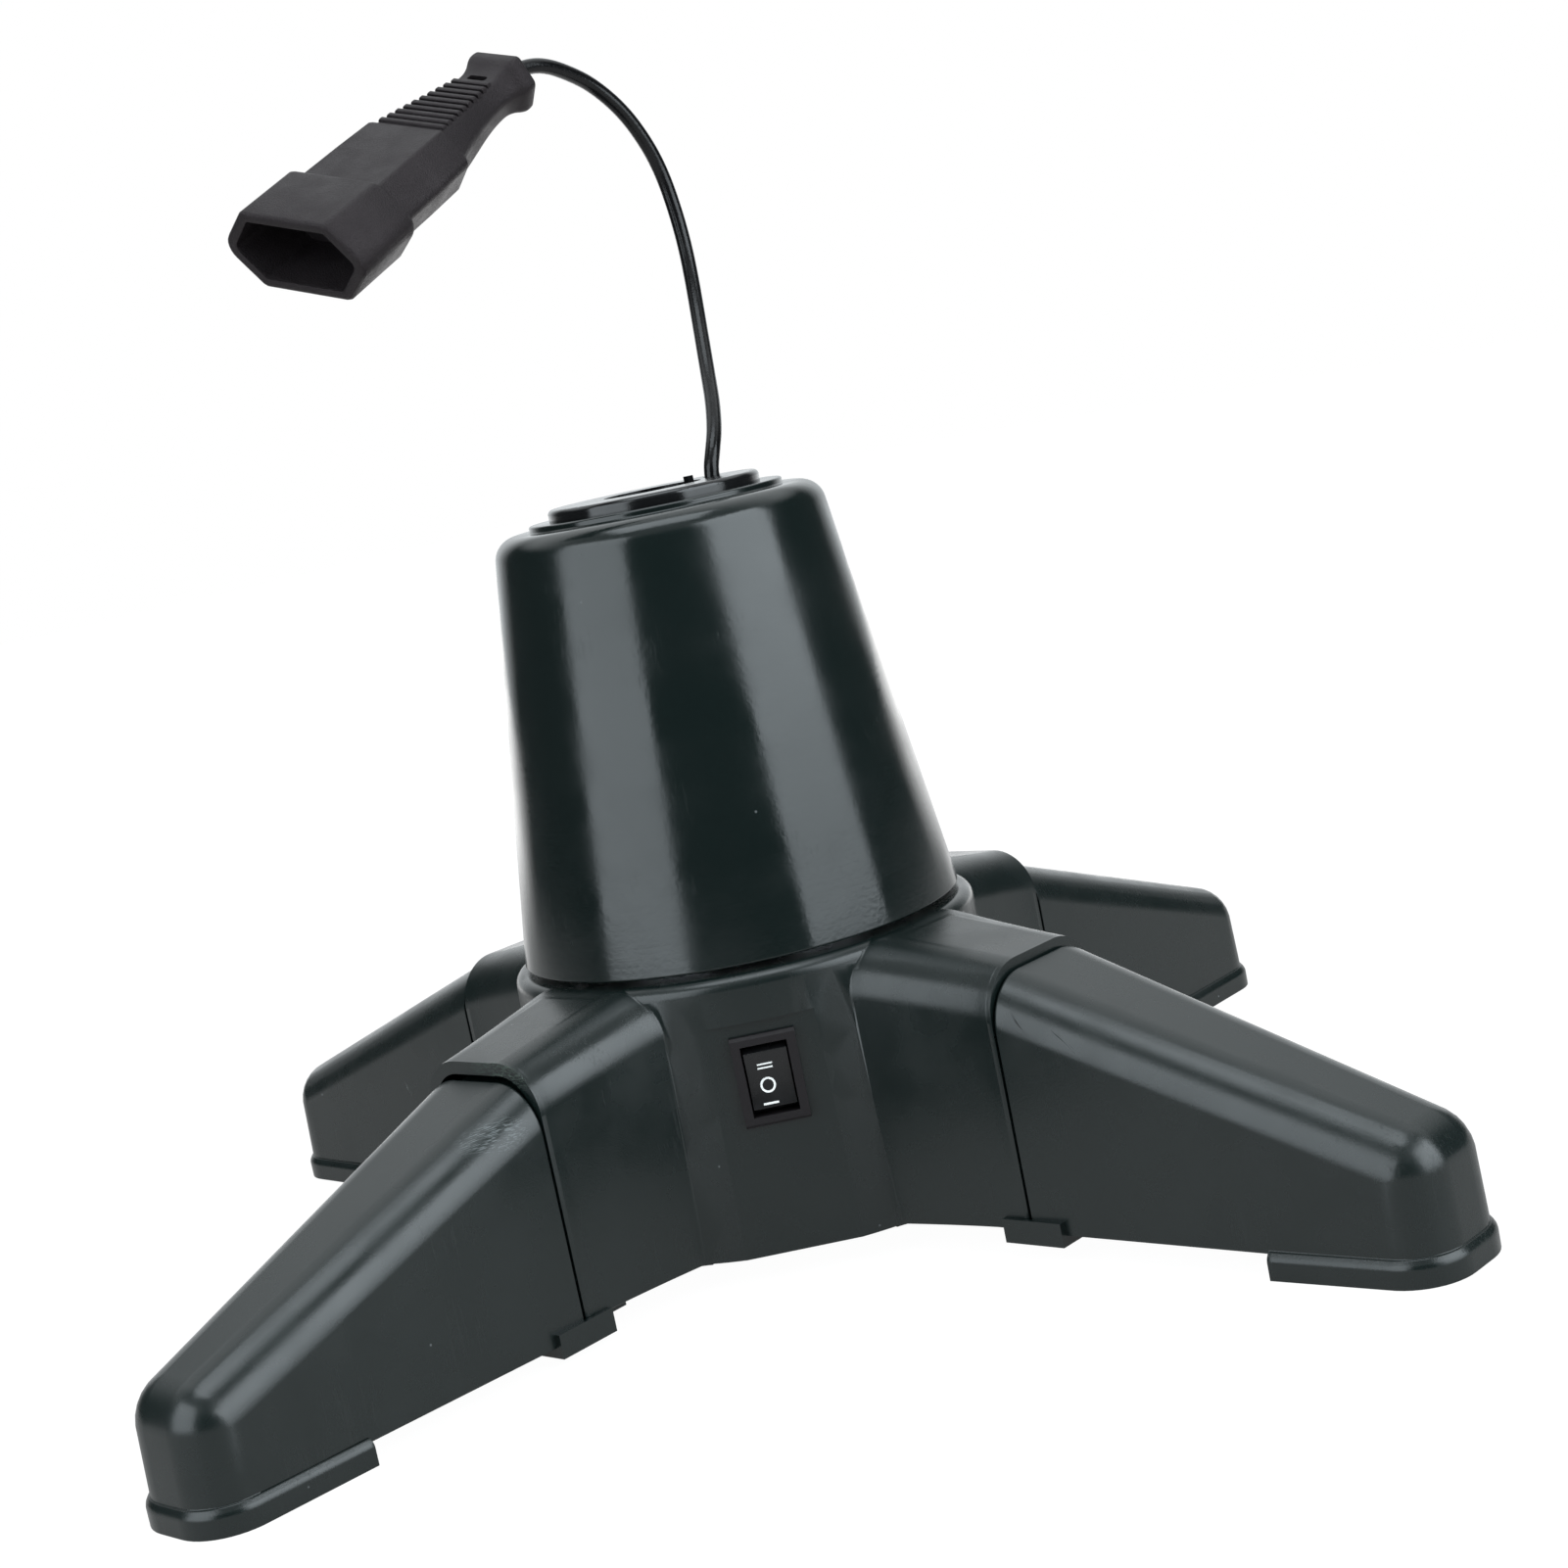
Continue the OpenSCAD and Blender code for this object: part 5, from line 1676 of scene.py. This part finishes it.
@dataclass
class Studio:
    """The camera at the photograph's angle, a pale floor and soft lamps.

    The camera is fitted to the photograph. The angles are in degrees, and the azimuth is that of the
    camera's side, from -Y.
    """

    eye: Vector = field(default_factory=lambda: Vector((467.1, -451.7, 202.7)) * MM)
    azimuth: float = 44.46
    elevation: float = 8.56
    roll: float = -11.49
    lens_mm: float = 61.25
    daylight: tuple[float, float, float] = (0.86, 0.945, 1.0)
    # the lamps' radiance, and how far each side box stands round from the camera
    side_radiance: float = 3.0
    top_radiance: float = 3.2
    left_turn: float = -50.0
    right_turn: float = 56.0

    def camera_side(self) -> tuple[float, float, float]:
        """Gives the level way from the axis towards the camera."""
        az = math.radians(self.azimuth)
        return (math.sin(az), -math.cos(az), 0.0)

    def camera(self) -> None:
        """Places the camera."""
        elevation, roll = math.radians(self.elevation), math.radians(self.roll)
        back = Vector(self.camera_side()) * math.cos(elevation) + Vector((0, 0, math.sin(elevation)))
        forward = -back
        right = forward.cross(Vector((0, 0, 1))).normalized()
        up = right.cross(forward)
        across = right * math.cos(roll) + up * math.sin(roll)
        upward = -right * math.sin(roll) + up * math.cos(roll)
        data = bpy.data.cameras.new("camera")
        data.sensor_width = 36.0
        data.lens = self.lens_mm
        data.clip_start = 0.01
        made = bpy.data.objects.new("camera", data)
        turn = Matrix((across, upward, back)).transposed().to_4x4()
        made.matrix_world = Matrix.Translation(self.eye) @ turn
        bpy.context.scene.collection.objects.link(made)
        bpy.context.scene.camera = made

    def box_light(
        self,
        name: str,
        bearing: float,
        distance: float,
        height: float,
        size: tuple[float, float],
        radiance: float,
        crown: float = 1.0,
    ) -> None:
        """Hangs a soft box that faces the axis.

        Args:
            name: its name.
            bearing: its direction from the axis, in degrees from +X.
            distance: from the axis.
            height: of its centre above the floor.
            size: its width and height.
            radiance: how bright its face looks, where 1 is white.
            crown: how many times brighter its upper half is, with a soft passage below the middle.
        """
        data = bpy.data.lights.new(name, "AREA")
        data.shape = "RECTANGLE"
        data.size, data.size_y = size
        data.energy = radiance * math.pi * size[0] * size[1]
        data.color = self.daylight
        data.use_nodes = True
        tree = data.node_tree
        tree.nodes.clear()
        on_face = add_node(tree, "ShaderNodeNewGeometry").outputs["Parametric"]
        upward = add_node(tree, "ShaderNodeSeparateXYZ", {0: on_face}).outputs[1]
        level = add_node(tree, "ShaderNodeMapRange", {0: upward, 1: 0.29, 2: 0.5, 3: 1.0, 4: crown})
        glow = add_node(tree, "ShaderNodeEmission", {"Strength": level.outputs[0]})
        add_node(tree, "ShaderNodeOutputLight", {"Surface": glow.outputs[0]})
        lamp = bpy.data.objects.new(name, data)
        turn = math.radians(bearing)
        lamp.location = (distance * math.cos(turn), distance * math.sin(turn), height)
        aim = Vector((0, 0, 0.1)) - lamp.location
        lamp.rotation_euler = aim.to_track_quat("-Z", "Y").to_euler()
        bpy.context.scene.collection.objects.link(lamp)

    def world(self) -> None:
        """Makes the surround: pale low behind the stand and overhead, dark beside and behind the camera."""
        world = bpy.data.worlds.new("surround")
        bpy.context.scene.world = world
        world.use_nodes = True
        tree = world.node_tree
        tree.nodes.clear()
        where = add_node(tree, "ShaderNodeTexCoord").outputs["Generated"]
        # 1 on the camera's side and -1 straight behind the stand
        side = add_node(
            tree, "ShaderNodeVectorMath", {0: where, 1: self.camera_side()}, operation="DOT_PRODUCT"
        ).outputs["Value"]
        wall = add_node(tree, "ShaderNodeMapRange", {0: side, 1: -0.9, 2: -0.68, 3: 1.12, 4: 0.06})
        ceiling = add_node(tree, "ShaderNodeMapRange", {0: side, 1: -0.4, 2: 0.1, 3: 1.2, 4: 0.45})
        height = add_node(tree, "ShaderNodeSeparateXYZ", {0: where}).outputs[2]
        overhead = add_node(
            tree, "ShaderNodeMapRange", {0: height, 1: 0.42, 2: 0.68}, interpolation_type="SMOOTHSTEP"
        )
        strength = add_node(
            tree,
            "ShaderNodeMix",
            {0: overhead.outputs[0], 2: wall.outputs[0], 3: ceiling.outputs[0]},
            data_type="FLOAT",
        )
        glow = add_node(
            tree, "ShaderNodeBackground", {"Color": (0.93, 0.975, 1.0, 1.0), "Strength": strength.outputs[0]}
        )
        # the camera itself sees plain white, as in the photograph
        plain = add_node(tree, "ShaderNodeBackground", {"Color": (1.0, 1.0, 1.0, 1.0), "Strength": 1.0})
        seen = add_node(tree, "ShaderNodeLightPath").outputs["Is Camera Ray"]
        mix = add_node(tree, "ShaderNodeMixShader", {0: seen, 1: glow.outputs[0], 2: plain.outputs[0]})
        add_node(tree, "ShaderNodeOutputWorld", {"Surface": mix.outputs[0]})

    def floor(self) -> None:
        """Lays the pale floor, which keeps a faint shadow and glows as the stand's gloss needs it."""
        size = 4.0
        corners = [(-size, -size, 0), (size, -size, 0), (size, size, 0), (-size, size, 0)]
        piece = new_piece("floor", mesh_of("floor", corners, [(0, 1, 2, 3)]))
        made = bpy.data.materials.new("pale_floor")
        made.use_nodes = True
        tree = made.node_tree
        tree.nodes.clear()
        matt = add_node(tree, "ShaderNodeBsdfDiffuse", {"Color": (0.86, 0.86, 0.86, 1.0)})
        where = add_node(tree, "ShaderNodeTexCoord").outputs["Object"]
        way = add_node(tree, "ShaderNodeVectorMath", {0: where}, operation="NORMALIZE").outputs[0]
        side = add_node(
            tree, "ShaderNodeVectorMath", {0: way, 1: self.camera_side()}, operation="DOT_PRODUCT"
        ).outputs["Value"]
        # how bright the floor stands in the gloss, by its direction: close to the stand and farther out
        near = add_node(tree, "ShaderNodeMapRange", {0: side, 1: -0.9, 2: -0.75, 3: 1.06, 4: 0.53})
        far = add_node(tree, "ShaderNodeMapRange", {0: side, 1: -0.84, 2: -0.62, 3: 2.3, 4: 0.0})
        away = add_node(tree, "ShaderNodeVectorMath", {0: where}, operation="LENGTH").outputs["Value"]
        beyond = add_node(tree, "ShaderNodeMapRange", {0: away, 1: 0.6, 2: 1.1})
        sweep = add_node(
            tree,
            "ShaderNodeMix",
            {0: beyond.outputs[0], 2: near.outputs[0], 3: far.outputs[0]},
            data_type="FLOAT",
        )
        # the camera sees a hair over white instead
        path = add_node(tree, "ShaderNodeLightPath").outputs
        glow = add_node(
            tree, "ShaderNodeMix", {0: path["Is Camera Ray"], 2: sweep.outputs[0], 3: 1.06}, data_type="FLOAT"
        )
        lit = add_node(
            tree, "ShaderNodeEmission", {"Color": (1.0, 1.0, 1.0, 1.0), "Strength": glow.outputs[0]}
        )
        # how much of what the camera and the gloss see is that glow; the rest is the lit floor
        seen = add_node(tree, "ShaderNodeMath", {0: path["Is Camera Ray"], 1: 0.92}, operation="MULTIPLY")
        bounced = add_node(tree, "ShaderNodeMath", {0: path["Is Glossy Ray"], 1: 0.85}, operation="MULTIPLY")
        share = add_node(
            tree, "ShaderNodeMath", {0: seen.outputs[0], 1: bounced.outputs[0]}, operation="MAXIMUM"
        )
        mix = add_node(
            tree, "ShaderNodeMixShader", {0: share.outputs[0], 1: matt.outputs[0], 2: lit.outputs[0]}
        )
        add_node(tree, "ShaderNodeOutputMaterial", {"Surface": mix.outputs[0]})
        dress(piece, made)

    def build(self) -> None:
        """Sets up the whole studio."""
        scene = bpy.context.scene
        scene.view_settings.view_transform = "Standard"
        self.camera()
        self.world()
        self.floor()
        front = self.azimuth - 90
        standing = {"distance": 1.3, "height": 0.45, "size": (1.15, 1.5), "radiance": self.side_radiance}
        self.box_light("left_box", front + self.left_turn, **standing)
        self.box_light("right_box", front + self.right_turn, **standing, crown=1.5)
        self.box_light(
            "top_box", front, distance=0.25, height=1.5, size=(1.0, 0.7), radiance=self.top_radiance
        )


def main() -> None:
    """Builds the studio and every sub-assembly in order."""
    logging.basicConfig(level=logging.INFO, format="%(message)s")
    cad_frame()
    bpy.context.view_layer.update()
    Studio().build()
    steps: list[tuple[str, Callable[[], object]]] = [
        ("cone cover", ConeCover().build),
        ("hub housing", HubHousing().build),
        ("pole socket", MouldedNode("pole_socket", Body.ROTOR, HEAD, "black_moulding", 0.25 * MM).build),
        ("switch", Switch().build),
        ("mechanism", Mechanism().build),
        ("bearing balls", BearingBalls().build),
    ]
    for side in ("front_left", "front_right", "back_left", "back_right"):
        leg = MouldedNode(side + "_leg", Body.BASE, SHELL, "green_black_shell", rims=FOOT_RIMS)
        steps.append((side + " leg", leg.build))
    for name, build in steps:
        build()
        LOG.info("built the %s", name)
    SocketLead().build(LampSocket().build() + [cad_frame()["nodes"]["socket_contacts"]])
    LOG.info("built the lamp socket and its lead")


if __name__ == "__main__":
    main()
